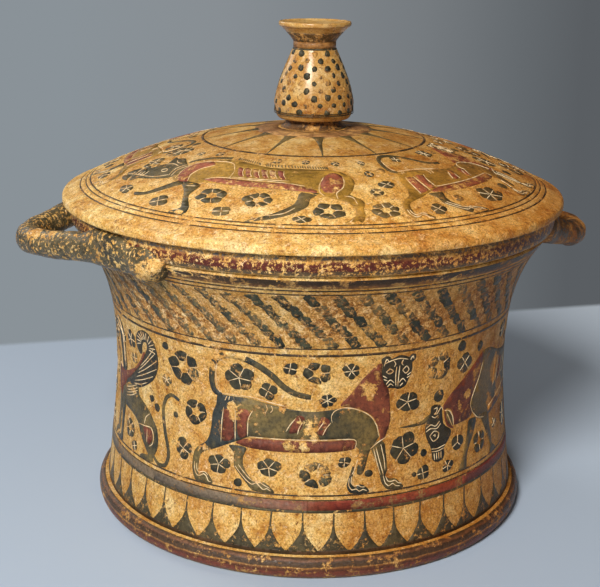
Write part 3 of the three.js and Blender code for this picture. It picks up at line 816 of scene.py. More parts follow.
def uneven_dot(x, y, radius, corners, least, most, stretch=1):
    wobble = [radius * chance.uniform(least, most) for _ in range(corners)]
    turns = [2 * pi * i / corners for i in range(corners)]
    return [(x + stretch * reach * cos(turn), y + reach * sin(turn)) for reach, turn in zip(wobble, turns)]


def blot(outline, faded_share, place, layers):
    """Fills an outline with dark slip, or in a share of cases with slip that has faded."""
    layer = layers["faded" if chance.random() < faded_share else "slip"]
    brushed(layer, outline, place, paint_lift)


def dot(x, y, radius, place, layers):
    blot(smooth(uneven_dot(x, y, radius, 7, 0.86, 1.08), 3), 0.15, place, layers)


petal_outline = [(0.34, 0), (0.48, 0.75), (0.84, 1), (1.06, 0.1), (0.86, -1), (0.5, -0.75)]


def rosette(x, y, radius, petals, place, layers, open_heart=False):
    """A filling flower of blobs round a bare heart, or one blot divided by scratched spokes."""
    turn = chance.uniform(0, 2 * pi)
    squash = chance.uniform(0.86, 1)
    if open_heart:
        for i in range(petals):
            angle = turn + 2 * pi * (i + chance.uniform(-0.08, 0.08)) / petals
            half = radius * sin(pi / petals) * chance.uniform(0.74, 0.92)
            blob = [(along * radius * chance.uniform(0.84, 1.1), across * half * chance.uniform(0.85, 1.15))
                    for along, across in petal_outline]
            outline = [(x + along * cos(angle) - across * sin(angle),
                        y + squash * (along * sin(angle) + across * cos(angle))) for along, across in blob]
            blot(smooth(outline, 4), 0.18, place, layers)
    else:
        reach = [chance.uniform(0.78, 1.16) for _ in range(petals)]
        outline = []
        for i in range(petals * 8):
            share = i / 8
            lobe = abs(sin(pi * share)) ** 0.7
            size = radius * (reach[int(share)] * lobe + 0.76 * (1 - lobe)) * chance.uniform(0.97, 1.03)
            angle = turn + 2 * pi * share / petals
            outline.append((x + size * cos(angle), y + squash * size * sin(angle)))
        blot(outline, 0.1, place, layers)
    for i in range(petals):
        angle = turn + 2 * pi * (i + (0.5 if open_heart else chance.uniform(-0.08, 0.08))) / petals
        near = radius * (chance.uniform(0.3, 0.5) if open_heart else chance.uniform(-0.1, 0.1))
        far = radius * chance.uniform(0.75, 0.95)
        spoke = [(x + reach * cos(angle), y + squash * reach * sin(angle)) for reach in (near, far)]
        brushed(layers["cut"], stroke(spoke, scratch_width, 0.4, 2), place, cut_lift)


def clear_of_beasts(x, y, room, taken):
    for other_x, other_y, other_room in taken:
        if hypot(x - other_x, y - other_y) < room + other_room:
            return False
    for outline in beasts_drawn:
        inside = False
        for (x1, y1), (x2, y2) in zip(outline, outline[1:] + outline[:1]):
            if hypot(x1 - x, y1 - y) < room:
                return False
            if (y1 > y) != (y2 > y) and x < (x2 - x1) * (y - y1) / (y2 - y1) + x1:
                inside = not inside
        if inside:
            return False
    return True


def fill_ground(start, end, low, high, place, layers, taken):
    """Scatters flowers and dots over the ground that the beasts leave free, large ones first."""
    for room, tries in ((6, 260), (4.6, 400), (3.4, 500), (2.2, 400)):
        for _ in range(tries):
            x = chance.uniform(start, end)
            y = chance.uniform(low + room, high - room)
            if clear_of_beasts(x, y, room + 0.9, taken):
                taken.append((x, y, room + 0.5))
                if room < 3:
                    dot(x, y, room, place, layers)
                else:
                    petals = chance.choice((4, 5, 6))
                    open_heart = room > 5 and chance.random() < 0.6
                    rosette(x, y, room, petals, place, layers, open_heart)


for shapes, x, size, facing in (
        (sphinx, -117.8, 1, 1), (panther, -51.3, 1, 1), (bull, 45.6, 1, 1), (bird, 196, 1.1, -1),
        (panther, 302, 1, -1), (sphinx, 372, 1, -1), (bird, 386, 1.1, 1)):
    beast(shapes, x, frieze_line, on_wall, wall_layers, size, facing)
for x, y, radius, petals, open_heart in (
        (-56.4, 49, 8.2, 6, True), (-50.4, 30.2, 6, 5, True), (-56.6, 12.3, 4.4, 4, False),
        (-38.4, 9.4, 4.9, 5, False), (-29.6, 49, 6.4, 5, False), (-17.2, 44.6, 3.8, 4, False),
        (-8, 55.2, 3.1, 4, False), (3.2, 53.4, 5.4, 5, True), (7.4, 41.2, 3.4, 6, False),
        (17, 54, 3.7, 6, False), (-16.4, 10.8, 5.2, 5, False), (3, 8.6, 6.3, 5, True),
        (14.8, 13.8, 2.8, 4, False), (42.6, 37.6, 5.8, 5, False), (40.8, 17.2, 7, 5, False),
        (50.2, 4.4, 3.5, 4, False), (58.2, 51, 6.4, 5, True), (74, 49, 4.8, 4, False),
        (63.8, 4.4, 3.4, 5, False), (70.4, 13.2, 4.2, 3, False), (86.8, 8.8, 4.8, 4, True),
        (-94.4, 52, 4.2, 5, False), (-92, 43.6, 2.9, 4, False), (-95.6, 9.6, 4.6, 5, True),
        (-67.2, 40.7, 3.3, 5, False), (-90, 2.8, 2.7, 4, False), (-104, 50, 3.4, 4, False)):
    rosette(x, frieze_line + y, radius, petals, on_wall, wall_layers, open_heart)
for x, y, radius in ((-29.4, 2.9, 2), (25.2, 8.4, 1.8), (50.8, 13.2, 1.8), (59, 37.2, 2.8),
                     (70.8, 57.4, 2.7), (84.8, 54, 2.4), (-66.6, 56.4, 2), (-77.8, 29, 1.7), (-73.8, 26, 2),
                     (-110, 8, 1.9), (-61.6, 26, 1.4), (46, 4.6, 1.2)):
    dot(x, frieze_line + y, radius, on_wall, wall_layers)
fill_ground(98, wall_around - 119, frieze_line + 0.8, frieze_top, on_wall, wall_layers, [])
for part, name, material, thickness in (
        ("slip", "wall_slip", dark_slip, paint_thickness),
        ("beast", "wall_beasts", beast_slip, paint_thickness),
        ("head", "wall_heads", head_slip, paint_thickness),
        ("tongues", "wall_tongues", tongue_slip, paint_thickness),
        ("faded", "wall_faded_slip", faded_slip, paint_thickness),
        ("lines", "wall_lines", line_slip, paint_thickness),
        ("band", "wall_band", band_red, red_thickness),
        ("worn", "wall_worn_slip", thin_slip, paint_thickness),
        ("red", "wall_red", red_paint, red_thickness)):
    coat(wall_layers[part], name, material, "vessel", thickness)
coat(wall_layers["cut"], "wall_scratches", scratch, "vessel", cut_thickness)

# The washes on the rim and the foot
# Red and dark slip were held against both beads while the pot turned, in narrow bands.
# Handling and standing have rubbed them back to the clay along their edges. The rim's coat
# also carries a painted highlight near its top and a painted shadow under the lid.


def skin(profile, lift=0.09, depth=0.1, steps=240):
    """A thin turned coat over part of a profile."""
    outer = [(radius + lift, z) for radius, z in profile]
    inner = [(radius - depth, z) for radius, z in profile]
    return turned(outer + inner[::-1] + outer[:1], steps)


def between(profile, low, high):
    return [(radius, z) for radius, z in profile if low <= z <= high]


neck_start = 129
half_steps = int(2 * (wall_top - neck_start)) + 1
neck_profile = [(wall_radius(neck_start + i / 2), neck_start + i / 2) for i in range(half_steps)]
neck_profile.append((rim_base - rim_groove, wall_top + rim_groove))
rim_bead = bead(rim_base, rim_proud, beads_bottom, body_height - beads_bottom, 40)
foot_bead = bead(foot_base, foot_proud, 0, foot_height, 40)
neck_wash = slip("neck_wash", None, None, 0.42, 8, (134, 88, 44), 0.45, 0.16, 0.5, bands=(
    (128.6, (164, 108, 54), 0.45), (129.6, (112, 76, 44), 0.75), (131, (66, 48, 31), 0.95),
    (133.6, (50, 36, 25), 0.95), (134.4, (176, 126, 64), 0.4)))
# The grey bands at 142 and 143.1 are a painted highlight on the rim's top; the near-black band from 143.4
# is a painted shadow of the gap under the lid.
rim_wash_light_and_shade = slip("rim_wash_light_and_shade", None, None, 0.42, 3.4, (160, 108, 60), 0.36, 0.06, 1.2, bands=(
    (135, (150, 108, 60), 0.4), (135.7, (98, 82, 56), 0.8), (136.9, (84, 66, 46), 0.8),
    (137.5, (88, 34, 22), 0.85), (140.3, (100, 42, 28), 0.75), (141.3, (160, 108, 66), 0.4),
    (142, (116, 110, 102), 0.7), (143.1, (150, 138, 120), 0.5), (143.4, (34, 22, 14), 1)))
foot_wash = slip("foot_wash", None, None, 0.40, 7, (140, 92, 50), 0.38, 0.1, 0.6, bands=(
    (0.6, (150, 104, 58), 0.4), (1.6, (124, 64, 44), 0.75), (3.6, (118, 60, 42), 0.7),
    (4.5, (88, 50, 34), 0.85), (5.3, (112, 70, 42), 0.8), (5.8, (164, 114, 64), 0.45),
    (6.3, (84, 64, 46), 0.9), (8, (72, 54, 40), 0.9), (8.7, (122, 84, 62), 0.85),
    (9.3, (84, 64, 48), 0.95)))
groove_wash = slip("groove_wash", (60, 48, 34), (96, 72, 52), 0.3, 6, (120, 82, 50), 0.4, 0.1, 0.3)
for name, profile, low, high, material in (
        ("neck_wash", neck_profile, 128, 135, neck_wash), ("rim_wash_light_and_shade", rim_bead, 135, 144.3, rim_wash_light_and_shade),
        ("foot_wash", foot_bead, 0.6, 9.5, foot_wash)):
    wash = skin(between(profile, low, high))
    wear(wash, low, high, 0.25)
    finished(wash, name, material, "vessel")
groove_profile = [
    (foot_base, foot_height - 0.1), (foot_base - groove_depth, foot_height + groove_width / 2),
    (foot_base, wall_bottom), (wall_radius(wall_bottom + 0.6), wall_bottom + 0.6)]
finished(skin(groove_profile), "foot_groove_wash", groove_wash, "vessel")

# The lid
# A domed disc with an upright edge and three fine lines turned near it, its underside hollow.
# A ring left below it drops inside the mouth and keeps it central.
lid_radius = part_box("lid")[1][0] / MM
crown_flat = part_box("knob_collar")[0][2] / MM
collar_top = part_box("knob_collar")[1][2] / MM
collar_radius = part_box("knob_collar")[1][0] / MM
flange_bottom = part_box("lid_flange")[0][2] / MM
flange_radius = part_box("lid_flange")[1][0] / MM
edge_height = 3.2
edge_top = body_height + edge_height
top_rounding = 2.2
lower_rounding = 0.8
flange_rounding = 1.5
hollow_shoulder = 2.5
dome_rise = 29
dome_power = 2.05
lid_grooves = (102.2, 104.2, 106.8)
lid_groove_half = 0.8
lid_groove_depth = 0.32
lid_wall = 6.5
flange_width = 4.5
hollow_radius = flange_radius - flange_width


def dome_height(radius):
    turned_lines = sum(max(0, 1 - ((radius - line) / lid_groove_half) ** 2) for line in lid_grooves)
    dome = edge_top + dome_rise * (1 - (radius / lid_radius) ** dome_power)
    return min(crown_flat, dome) - lid_groove_depth * turned_lines


shoulder = lid_radius - top_rounding
lid_profile = [(0, crown_flat - lid_wall)]
for i in range(1, 25):
    radius = (hollow_radius - hollow_shoulder) * i / 24
    lid_profile.append((radius, dome_height(radius) - lid_wall))
lid_profile += [(hollow_radius, body_height)]
lid_profile += quarter((lid_radius - lower_rounding, body_height),
                       (lid_radius, body_height + lower_rounding), False)
lid_profile += quarter((lid_radius, edge_top - top_rounding / 2),
                       (shoulder, dome_height(shoulder)), True, 8)
dome_radii = [shoulder * (1 - i / 60) for i in range(1, 61)]
dome_radii += [line + lid_groove_half * share for line in lid_grooves
               for share in (-1, -0.625, -0.3125, 0, 0.3125, 0.625, 1)]
lid_profile += [(radius, dome_height(radius)) for radius in sorted(dome_radii, reverse=True)]
lid_mesh = turned(lid_profile)
wear(lid_mesh, body_height + 0.1, edge_top - 0.6, 0.45, 7)
finished(lid_mesh, "lid_disc", clay, "cover", "lid")
middle = (flange_radius + hollow_radius) / 2
flange_profile = [
    *quarter((middle, flange_bottom), (flange_radius, flange_bottom + flange_rounding), False),
    (flange_radius, body_height), (hollow_radius, body_height),
    *quarter((hollow_radius, flange_bottom + flange_rounding), (middle, flange_bottom), True),
]
finished(turned(flange_profile), "lid_ring", clay, "cover", "lid_flange")

# The lid's painting
# A second frieze runs round the lid between fine lines, feet outwards: a bristling boar in
# front, its back to a panther. Thin rays spread from the knob inside an inner circle.
# Here x runs round a circle half way across the frieze, and y from its outer line inwards.
frieze_outer = 102
frieze_middle = 77
lid_line = 0.2
wash_lift = 0.06
wash_thickness = 0.1
lid_layers = {part: new_layer() for part in (
    "slip", "faded", "head", "trunk", "lines", "red", "cut", "wash")}
lid_layers["beast"] = lid_layers["slip"]
lid_around = 2 * pi * frieze_middle
beasts_drawn.clear()


def on_lid(x, y, lift):
    turn = front + x / frieze_middle
    radius = frieze_outer - y
    return Vector((radius * cos(turn), radius * sin(turn), dome_height(radius) + lift))


def on_crown(x, y, lift):
    return Vector((x, y, dome_height(hypot(x, y)) + lift))


boar = {
    "trunk": [
        # shoulder, trunk and the far hind leg
        [(-62, 31), (-57, 36.4), (-50, 41.2), (-41, 41.8), (-31, 40.2), (-21, 38.4), (-10, 38.6), (0, 38.4),
         (8, 37.8), (13, 36.2), (16.6, 33), (17.8, 27.9), (15.6, 21.5), (14, 18.5), (16.8, 15.4),
         (18.1, 12.9), (17, 8.8), (16.6, 4.5), (14.6, 0.2), (9.6, 0.3), (13.4, 4.6), (14, 9), (12.3, 13.2),
         (9.5, 14.7), (5.1, 16.7), (0.5, 18.9), (-7, 20.8), (-20, 21.6), (-34, 21.8), (-45, 21.6),
         (-50, 18.6), (-57, 18.4), (-63, 21), (-64, 27)],
    ],
    "head": [
        [(-88.8, 13.4), (-89.8, 16.1), (-86.2, 18.6), (-83.6, 21.5), (-82, 24.7), (-78.8, 27.9),
         (-80.8, 31.5), (-82.4, 34), (-79, 33.6), (-75.1, 35.3), (-71.6, 34), (-68.3, 32.5), (-63.3, 29.5),
         (-62.6, 23.6), (-63.8, 20.3), (-67.1, 18.2), (-71.9, 16.4), (-77.1, 14.6), (-83.2, 13.2)],
    ],
    "beast": [
        # near hind leg, stretched forward
        [(-4.4, 20), (-6.2, 12), (-12.9, 5.2), (-20.4, 0.1), (-14.9, 1.2), (-7.7, 4.8), (-1.7, 10.4),
         (-0.7, 15.6), (2.4, 19.6)],
        # forelegs
        [(-55.2, 19.8), (-49, 13.5), (-45, 6.6), (-43.8, 3.4), (-46.4, 0.2), (-40.6, 0.4), (-41, 4.9),
         (-45.4, 11.8), (-45.6, 19.6)],
        [(-57.4, 19.4), (-61.6, 12.4), (-64.4, 8.2), (-68.6, 6.6), (-66.8, 5), (-62, 7.4), (-56.1, 15),
         (-53.4, 18.4)],
    ],
    "brush": [],
    "red": [
        # breast, belly, ribs and haunch
        [(-61.6, 23.6), (-64, 28.8), (-62.8, 34), (-56.3, 37.6), (-52, 36), (-56, 31), (-56.6, 25),
         (-53, 20.4), (-58, 19.6)],
        [(-47, 23.6), (-40.4, 26.2), (-32.8, 26.4), (-16.8, 26), (-10.6, 26.4), (0.5, 22.2), (1.4, 20),
         (-3.3, 20.7), (-16.8, 22), (-34, 22.2)],
        *[[(-37.4 + 4.1 * i, 35.8), (-34.8 + 4.1 * i, 35.6),
           (-31.4 + 3.9 * i, 29.8), (-33.6 + 3.9 * i, 29.6)] for i in range(6)],
        [(5.4, 32.2), (9, 35.4), (13, 33), (13, 28.1), (11.6, 23.7), (8.4, 20), (4.6, 20.6), (3.2, 26)],
    ],
    "cut": [
        [(-60.7, 20.6), (-63.8, 28.6), (-62, 34.3), (-56.3, 37.9), (-47.3, 39.6), (-41.9, 38.2),
         (-37.6, 32.6), (-36.7, 27)],
        [(-53, 20.4), (-56, 25.4), (-55.4, 31), (-51, 35.4)],
        *[[(-34.4 + 4.1 * i, 36.2), (-33.2 + 4 * i, 32.6), (-31 + 3.9 * i, 29.4)] for i in range(6)],
        [(-36, 28), (-24, 28.2), (-10, 28.2)], [(-46.6, 23.8), (-40, 26.8), (-16, 27), (-3, 24.6)],
        [(5, 32.2), (2.9, 26), (2.7, 20.7), (4.4, 17.7)],
        [(13.4, 32), (13.4, 28.1), (12.2, 23.7), (9.1, 19.7), (9.1, 15.7)],
        [(-87.6, 14.6), (-80, 16), (-72, 18), (-66.6, 21.6)],
        [(-74.6, 23.4), (-73, 25), (-71, 23.8), (-72.4, 22.4), (-74.6, 23.4)],
        [(-79, 27.6), (-74.6, 29.4), (-70, 29)], [(-77.6, 32.6), (-74, 31), (-70.6, 31.4)],
        [(-66.6, 31.6), (-68.6, 27), (-66, 21.4)], [(-64.6, 31), (-66.4, 26.6), (-64.4, 21.4)],
        *[[(-86.6 + i * 1.7, 16.4 + i * 0.9), (-85.4 + i * 1.7, 14.4 + i * 0.5)] for i in range(5)],
        [(-14, 4), (-9, 5.8), (-5.6, 9.6)], [(-46.6, 2), (-43.4, 2.4)], [(-51, 17.4), (-47, 18.2)],
        [(-16.6, 2.4), (-17.4, 1)], [(12.4, 2.6), (11.2, 1)], [(15.4, 12), (14.6, 16.4), (11.6, 17.6)],
    ],
}
beast(boar, 0, 0, on_lid, lid_layers)
for crest, count in (([(-67.3, 32.6), (-65.5, 35.1), (-60.3, 38.9), (-53.7, 41), (-47.6, 42.2)], 10),
                     ([(-43, 42.4), (-36, 41.8), (-28, 40.2)], 6),
                     ([(-24, 39.4), (-6, 39.4), (8, 38.6)], 12)):
    # Bristles: short strokes side by side along the back.
    for x, y in smooth(crest, count, closed=False):
        bristle = stroke([(x, y), (x - 0.5, y + 1), (x - 0.8, y + 2.2)], 0.6, 0.6, 1)
        brushed(lid_layers["slip"], bristle, on_lid, paint_lift)
for shapes, x, size, facing in ((panther, 30.3, 0.82, 1), (bull, 124, 0.78, 1), (sphinx, 266, 0.8, -1),
                                (bird, 274, 0.95, 1), (panther, 394, 0.79, -1)):
    beast(shapes, x, lid_line, on_lid, lid_layers, size, facing)
lid_taken = []
for x, y, radius, petals, open_heart in (
        (-71.9, 42, 2.4, 4, False), (-54.4, 5, 4, 4, False), (-36.8, 13.5, 5.2, 6, True),
        (-29.1, 4.6, 3.4, 4, False), (-19, 13.7, 5.4, 6, True), (-3.2, 2.8, 2.8, 4, False),
        (5.4, 8, 5, 5, True), (31, 24.6, 3.9, 4, False), (24.2, 7.6, 4.8, 6, True),
        (24.6, 19.4, 2.6, 4, True), (26.4, 33.6, 2.3, 4, True), (-20.3, 44.7, 2.5, 4, True),
        (-4.2, 45.1, 2.5, 5, False), (12.5, 43.8, 2.6, 4, False), (27, 43.6, 2.4, 4, False),
        (-86, 24, 4, 5, True), (-92, 36, 4.4, 5, True), (-75, 6.6, 3.6, 5, False), (50, 44, 3.2, 4, False),
        (-60, 45.4, 2.4, 4, False)):
    rosette(x, y, radius, petals, on_lid, lid_layers, open_heart)
    lid_taken.append((x, y, radius))
fill_ground(30, lid_around - 84, 1.5, 49.5, on_lid, lid_layers, lid_taken)
for part, radius, width, lift in (
        ("lines", 51, 1.2, paint_lift), ("lines", lid_grooves[0], 0.6, paint_lift),
        ("lines", lid_grooves[1], 0.5, paint_lift), ("lines", lid_grooves[2], 0.6, paint_lift),
        ("wash", 21.6, 10.6, wash_lift)):
    low = frieze_outer - radius - width / 2
    painted_ring(lid_layers[part], low, width, lid_around, 12, on_lid, lift)
ray_count = 13
ray_edge = [(25.5, 3.2), (29, 1.9), (36, 0.9), (50.6, 0.25)]
ray_outline = [(reach, -half) for reach, half in ray_edge] + ray_edge[::-1]
for i in range(ray_count):
    turn = front + radians(-23) + 2 * pi * i / ray_count
    along = Vector((cos(turn), sin(turn), 0))
    side = Vector((-sin(turn), cos(turn), 0))
    ray = [along * reach + side * half for reach, half in ray_outline]
    brushed(lid_layers["slip"], [(point.x, point.y) for point in ray], on_crown, paint_lift, 3)
lid_dark = slip("lid_slip", (70, 66, 46), (120, 102, 64), 0.38, 6, (160, 112, 60), 0.42, specks=0.6)
lid_pale = slip("lid_faded_slip", (112, 94, 62), (150, 122, 76), 0.5, 4, (176, 126, 66), 0.42, specks=0.8)
lid_dim = slip("lid_head_slip", (76, 70, 46), (120, 102, 64), 0.37, 5, (160, 112, 60), 0.42, specks=0.6)
gold_slip = slip("gold_slip", (140, 108, 42), (198, 152, 68), 0.375, 6, (176, 126, 66), 0.38, specks=0.5)
lid_paint = slip("lid_red", (134, 66, 50), (168, 98, 72), 0.45, 6, (186, 130, 78), 0.5, specks=0.7)
crown_stain = slip("crown_stain", (136, 96, 62), (176, 130, 82), 0.46, 12, (200, 152, 96), 0.45, 0.3)
for part, name, material, thickness in (
        ("slip", "lid_slip", lid_dark, paint_thickness),
        ("faded", "lid_faded_slip", lid_pale, paint_thickness),
        ("head", "lid_heads", lid_dim, paint_thickness),
        ("trunk", "lid_gold_slip", gold_slip, paint_thickness),
        ("lines", "lid_lines", line_slip, paint_thickness),
        ("red", "lid_red", lid_paint, red_thickness)):
    coat(lid_layers[part], name, material, "cover", thickness)
coat(lid_layers["cut"], "lid_scratches", scratch, "cover", cut_thickness)
coat(lid_layers["wash"], "crown_wash", crown_stain, "cover", wash_thickness)

# The knob and its collar
# A pear-shaped knob on a short spreading collar, drawn in to a neck and opened out to a flat
# dished lip. Rows of dots cover its belly; slip is worn from the neck, the lip and the collar.
knob_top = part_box("knob")[1][2] / MM
belly_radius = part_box("knob")[1][0] / MM
belly_height = 7.2
belly_underside = 2.6
shoulder_power = 1.42
neck_radius = 9.6
neck_length = 2.8
lip_radius = 16.4
lip_rounding = 0.9
lip_thickness = 2.2
lip_flare = 6.6
lip_power = 1.2
flare_steps = 8
dish_depth = 1.8
collar_top_radius = 12.7
collar_edge = 0.4
knob_steps = 96
belly = collar_top + belly_height
lip_bottom = knob_top - lip_thickness
neck_top = lip_bottom - lip_flare
neck_bottom = neck_top - neck_length
lip_base = lip_radius - lip_rounding


def knob_radius(z):
    rise = max(0, (z - belly) / (neck_bottom - belly))
    return belly_radius - (belly_radius - neck_radius) * rise ** shoulder_power


def on_knob(x, z, lift):
    turn = front + x / belly_radius
    radius = knob_radius(z) + lift
    return Vector((radius * cos(turn), radius * sin(turn), z))


shoulder_heights = [belly + (neck_bottom - belly) * i / 16 for i in range(1, 17)]
shoulder_profile = [(knob_radius(z), z) for z in shoulder_heights]
neck_curve = []
for i in range(flare_steps + 1):
    share = i / flare_steps
    flared = neck_radius + (lip_base - neck_radius) * share ** lip_power
    neck_curve.append((flared, neck_top + lip_flare * i / flare_steps))
lip_bead = bead(lip_base, lip_rounding, lip_bottom, knob_top - lip_bottom, 8)
dish_turns = [pi / 2 * i / 8 for i in range(1, 8)]
dish = [(lip_base * cos(turn), knob_top - dish_depth * sin(turn)) for turn in dish_turns]
underside = quarter((collar_top_radius + belly_underside, collar_top), (belly_radius, belly), False, 8)
knob_mesh = turned([(0, collar_top), *underside, *shoulder_profile, *neck_curve, *lip_bead[1:], *dish,
                    (0, knob_top - dish_depth)], knob_steps)
wear(knob_mesh, lip_bottom - 1, knob_top + 1, 0.35, 4)
burnished = fired_clay("burnished_clay", 0.3, 0.5)
burnished.node_tree.nodes["Principled BSDF"].inputs["Coat Weight"].default_value = 0.5
burnished.node_tree.nodes["Principled BSDF"].inputs["Coat Roughness"].default_value = 0.22
finished(knob_mesh, "knob_pear", burnished, "cover", "knob")
collar_profile = [
    (0, crown_flat), (collar_radius, crown_flat),
    *quarter((collar_radius, crown_flat + collar_edge),
             (collar_top_radius, collar_top - collar_edge), False),
    (collar_top_radius, collar_top), (0, collar_top)]
collar_slip = slip("collar_slip", (70, 52, 34), (120, 86, 54), 0.47, 6, (160, 108, 56), 0.3, 0.12, 0.6)
collar_mesh = turned(collar_profile, knob_steps)
finished(collar_mesh, "knob_foot", collar_slip, "cover", "knob_collar")
knob_dots = new_layer()
knob_faint = new_layer()
dot_rows = 9
first_row = 4.6
row_height = 3.15
dot_spacing = 6.2
for row in range(dot_rows):
    z = collar_top + first_row + row * row_height
    count = round(2 * pi * knob_radius(z) / dot_spacing)
    for i in range(count):
        x = (i + 0.5 * (row % 2)) * 2 * pi * belly_radius / count + chance.uniform(-0.5, 0.5)
        radius = chance.uniform(1.1, 1.6)
        at = z + chance.uniform(-0.4, 0.4)
        rim = uneven_dot(x, at, radius, 9, 0.82, 1.12, belly_radius / knob_radius(z))
        rubbed = chance.random() < 0.34
        brushed(knob_faint if rubbed else knob_dots, rim, on_knob, paint_lift, 2)
for z, height in ((collar_top + 2.6, 0.4), (collar_top + 3.5, 0.3), (neck_bottom - 0.7, 0.7)):
    painted_ring(knob_dots, z, height, 2 * pi * belly_radius, 4, on_knob, paint_lift, 2)
faint_slip = slip("faint_slip", (70, 64, 48), (118, 98, 66), 0.56, 2.6, (140, 98, 54), specks=0.8)
coat(knob_dots, "knob_dots", dark_slip, "cover", paint_thickness)
coat(knob_faint, "knob_rubbed_dots", faint_slip, "cover", paint_thickness)
cone_wash = slip("cone_wash", (66, 54, 34), (104, 78, 46), 0.485, 3.4, (146, 98, 50), 0.4, 0.12, 0.9)
neck_tint = slip("neck_tint", (126, 86, 46), (168, 120, 66), 0.42, 5, (160, 110, 62), 0.3, 0.2, 0.6)
cone_skin = skin(neck_curve[:6], steps=knob_steps)
finished(cone_skin, "knob_cone_wash", cone_wash, "cover")
neck_line = [(knob_radius(neck_bottom), neck_bottom), (neck_radius, neck_bottom + 1.2),
             (neck_radius, neck_top)]
neck_skin = skin(neck_line, lift=0.07, steps=knob_steps)
finished(neck_skin, "knob_neck_tint", neck_tint, "cover")

# The handles
# Two coils of clay, bent to an arch by hand and thumbed on to the rim with a lump of clay
# over each root. They were dipped in dark slip, which has flaked from all that is touched.
coil_radius = 6.6
left_handle = {"arm": [(0, 18.4, 15.5), (10.6, 9, 14), (19, 1.4, 12), (40, -5.5, 12.5)],
               "lumps": [((40, -4.4, 11), (8.6, 11, 9.4)), ((28, -1.6, 7.4), (5.2, 20, 6.8))]}
right_handle = {"arm": [(0, 18.4, 20.7), (9, 11.4, 18.7), (15, 2.4, 14.7), (24, -5.6, 10.4)],
                "lumps": [((22, -4.6, 8.8), (7.6, 11, 7.8)), ((17, -2.2, 7.2), (4.8, 10, 6.4))]}
knuckle = (43, 0.5, 12)
kneading_voxel = 0.9


def arch_point(station, side, middle_turn):
    angle, out, below = station
    turn = middle_turn + side * radians(angle)
    radius = rim_radius + out
    return Vector((radius * cos(turn), radius * sin(turn), body_height - below))


def make_handle(shape, middle_turn, ends):
    arm = shape["arm"]
    path = [arch_point(station, -1, middle_turn) for station in arm[:0:-1]]
    path += [arch_point(station, 1, middle_turn) for station in arm]
    curve = bpy.data.curves.new("coil", "CURVE")
    curve.dimensions = "3D"
    curve.bevel_depth = coil_radius
    curve.bevel_resolution = 8
    curve.use_fill_caps = True
    line = curve.splines.new("BEZIER")
    line.resolution_u = 16
    line.bezier_points.add(len(path) - 1)
    for point, place in zip(line.bezier_points, path):
        point.co = place
        point.handle_left_type = point.handle_right_type = "AUTO"
    coil = bpy.data.objects.new("coil", curve)
    made = bmesh.new()
    made.from_mesh(bpy.data.meshes.new_from_object(coil))
    bpy.data.objects.remove(coil)
    lumps = [(side, station, half, 0) for station, half in shape["lumps"] for side in (-1, 1)]
    for side, station, half, tilt in lumps + ends:
        stand = Matrix.Translation(arch_point(station, side, middle_turn))
        turn = Matrix.Rotation(middle_turn + side * radians(station[0]), 4, "Z")
        tip = Matrix.Rotation(radians(tilt), 4, "X")
        lump = stand @ turn @ tip @ Matrix.Diagonal((*half, 1))
        bmesh.ops.create_uvsphere(made, u_segments=32, v_segments=20, radius=1, matrix=lump)
    return made


def kneaded(made):
    """Runs coil and lumps into one another, and leaves finger marks in them."""
    rough = bpy.data.meshes.new("rough")
    made.to_mesh(rough)
    made.free()
    clump = bpy.data.objects.new("rough", rough)
    bpy.context.collection.objects.link(clump)
    fuse = clump.modifiers.new("fuse", "REMESH")
    fuse.mode = "VOXEL"
    fuse.voxel_size = kneading_voxel
    seen = clump.evaluated_get(bpy.context.evaluated_depsgraph_get())
    made = bmesh.new()
    made.from_mesh(bpy.data.meshes.new_from_object(seen))
    bpy.data.objects.remove(clump)
    for _ in range(6):
        bmesh.ops.smooth_vert(made, verts=made.verts, factor=0.5,
                              use_axis_x=True, use_axis_y=True, use_axis_z=True)
    made.normal_update()
    for point in made.verts:
        marks = noise.noise(point.co / 11) * 0.7 + noise.noise(point.co / 4.5) * 0.25
        point.co += point.normal * (marks - 0.35)
        height = min(point.co.z, body_height - 0.5)
        inner = wall_radius(min(height, wall_top)) - 3
        out = hypot(point.co.x, point.co.y)
        if out < inner:
            point.co *= inner / out
        point.co.z = height
    return made


bare_left = [(arch_point((42, 4, 14), 1, pi), 5), (arch_point((44.6, 4, 9.6), 1, pi), 4.2),
             (arch_point((7, 17, 9), 1, pi), 4.4), (arch_point((11, 11.6, 7.6), 1, pi), 3.6),
             (arch_point((33, 4, 14.4), 1, pi), 2.4), (arch_point((18, 4, 18), 1, pi), 2.4),
             (arch_point(knuckle, -1, pi), 7)]
bare_right = [(arch_point((-4, 22, 17), 1, 0), 9), (arch_point((7, 18, 22), 1, 0), 6)]
left_slip = slip("left_handle_slip", (64, 60, 46), (118, 106, 78), 0.43, 2.8, (170, 124, 70),
                 0.3, 0.05, 1.2, bare_left)
right_slip = slip("right_handle_slip", (78, 64, 40), (120, 94, 56), 0.50, 7, (156, 108, 56), 0.4, 0.14, 0.7,
                  bare_right)
bare_ends = [(side, knuckle, (3.6, 6.8, 3.6), 28 * side) for side in (-1, 1)]
for name, shape, turn, ends, material in (("left", left_handle, pi, bare_ends, left_slip),
                                          ("right", right_handle, 0, [], right_slip)):
    finished(kneaded(make_handle(shape, turn, ends)), "handle_" + name + "_coil", material, "vessel",
             "handle_" + name)

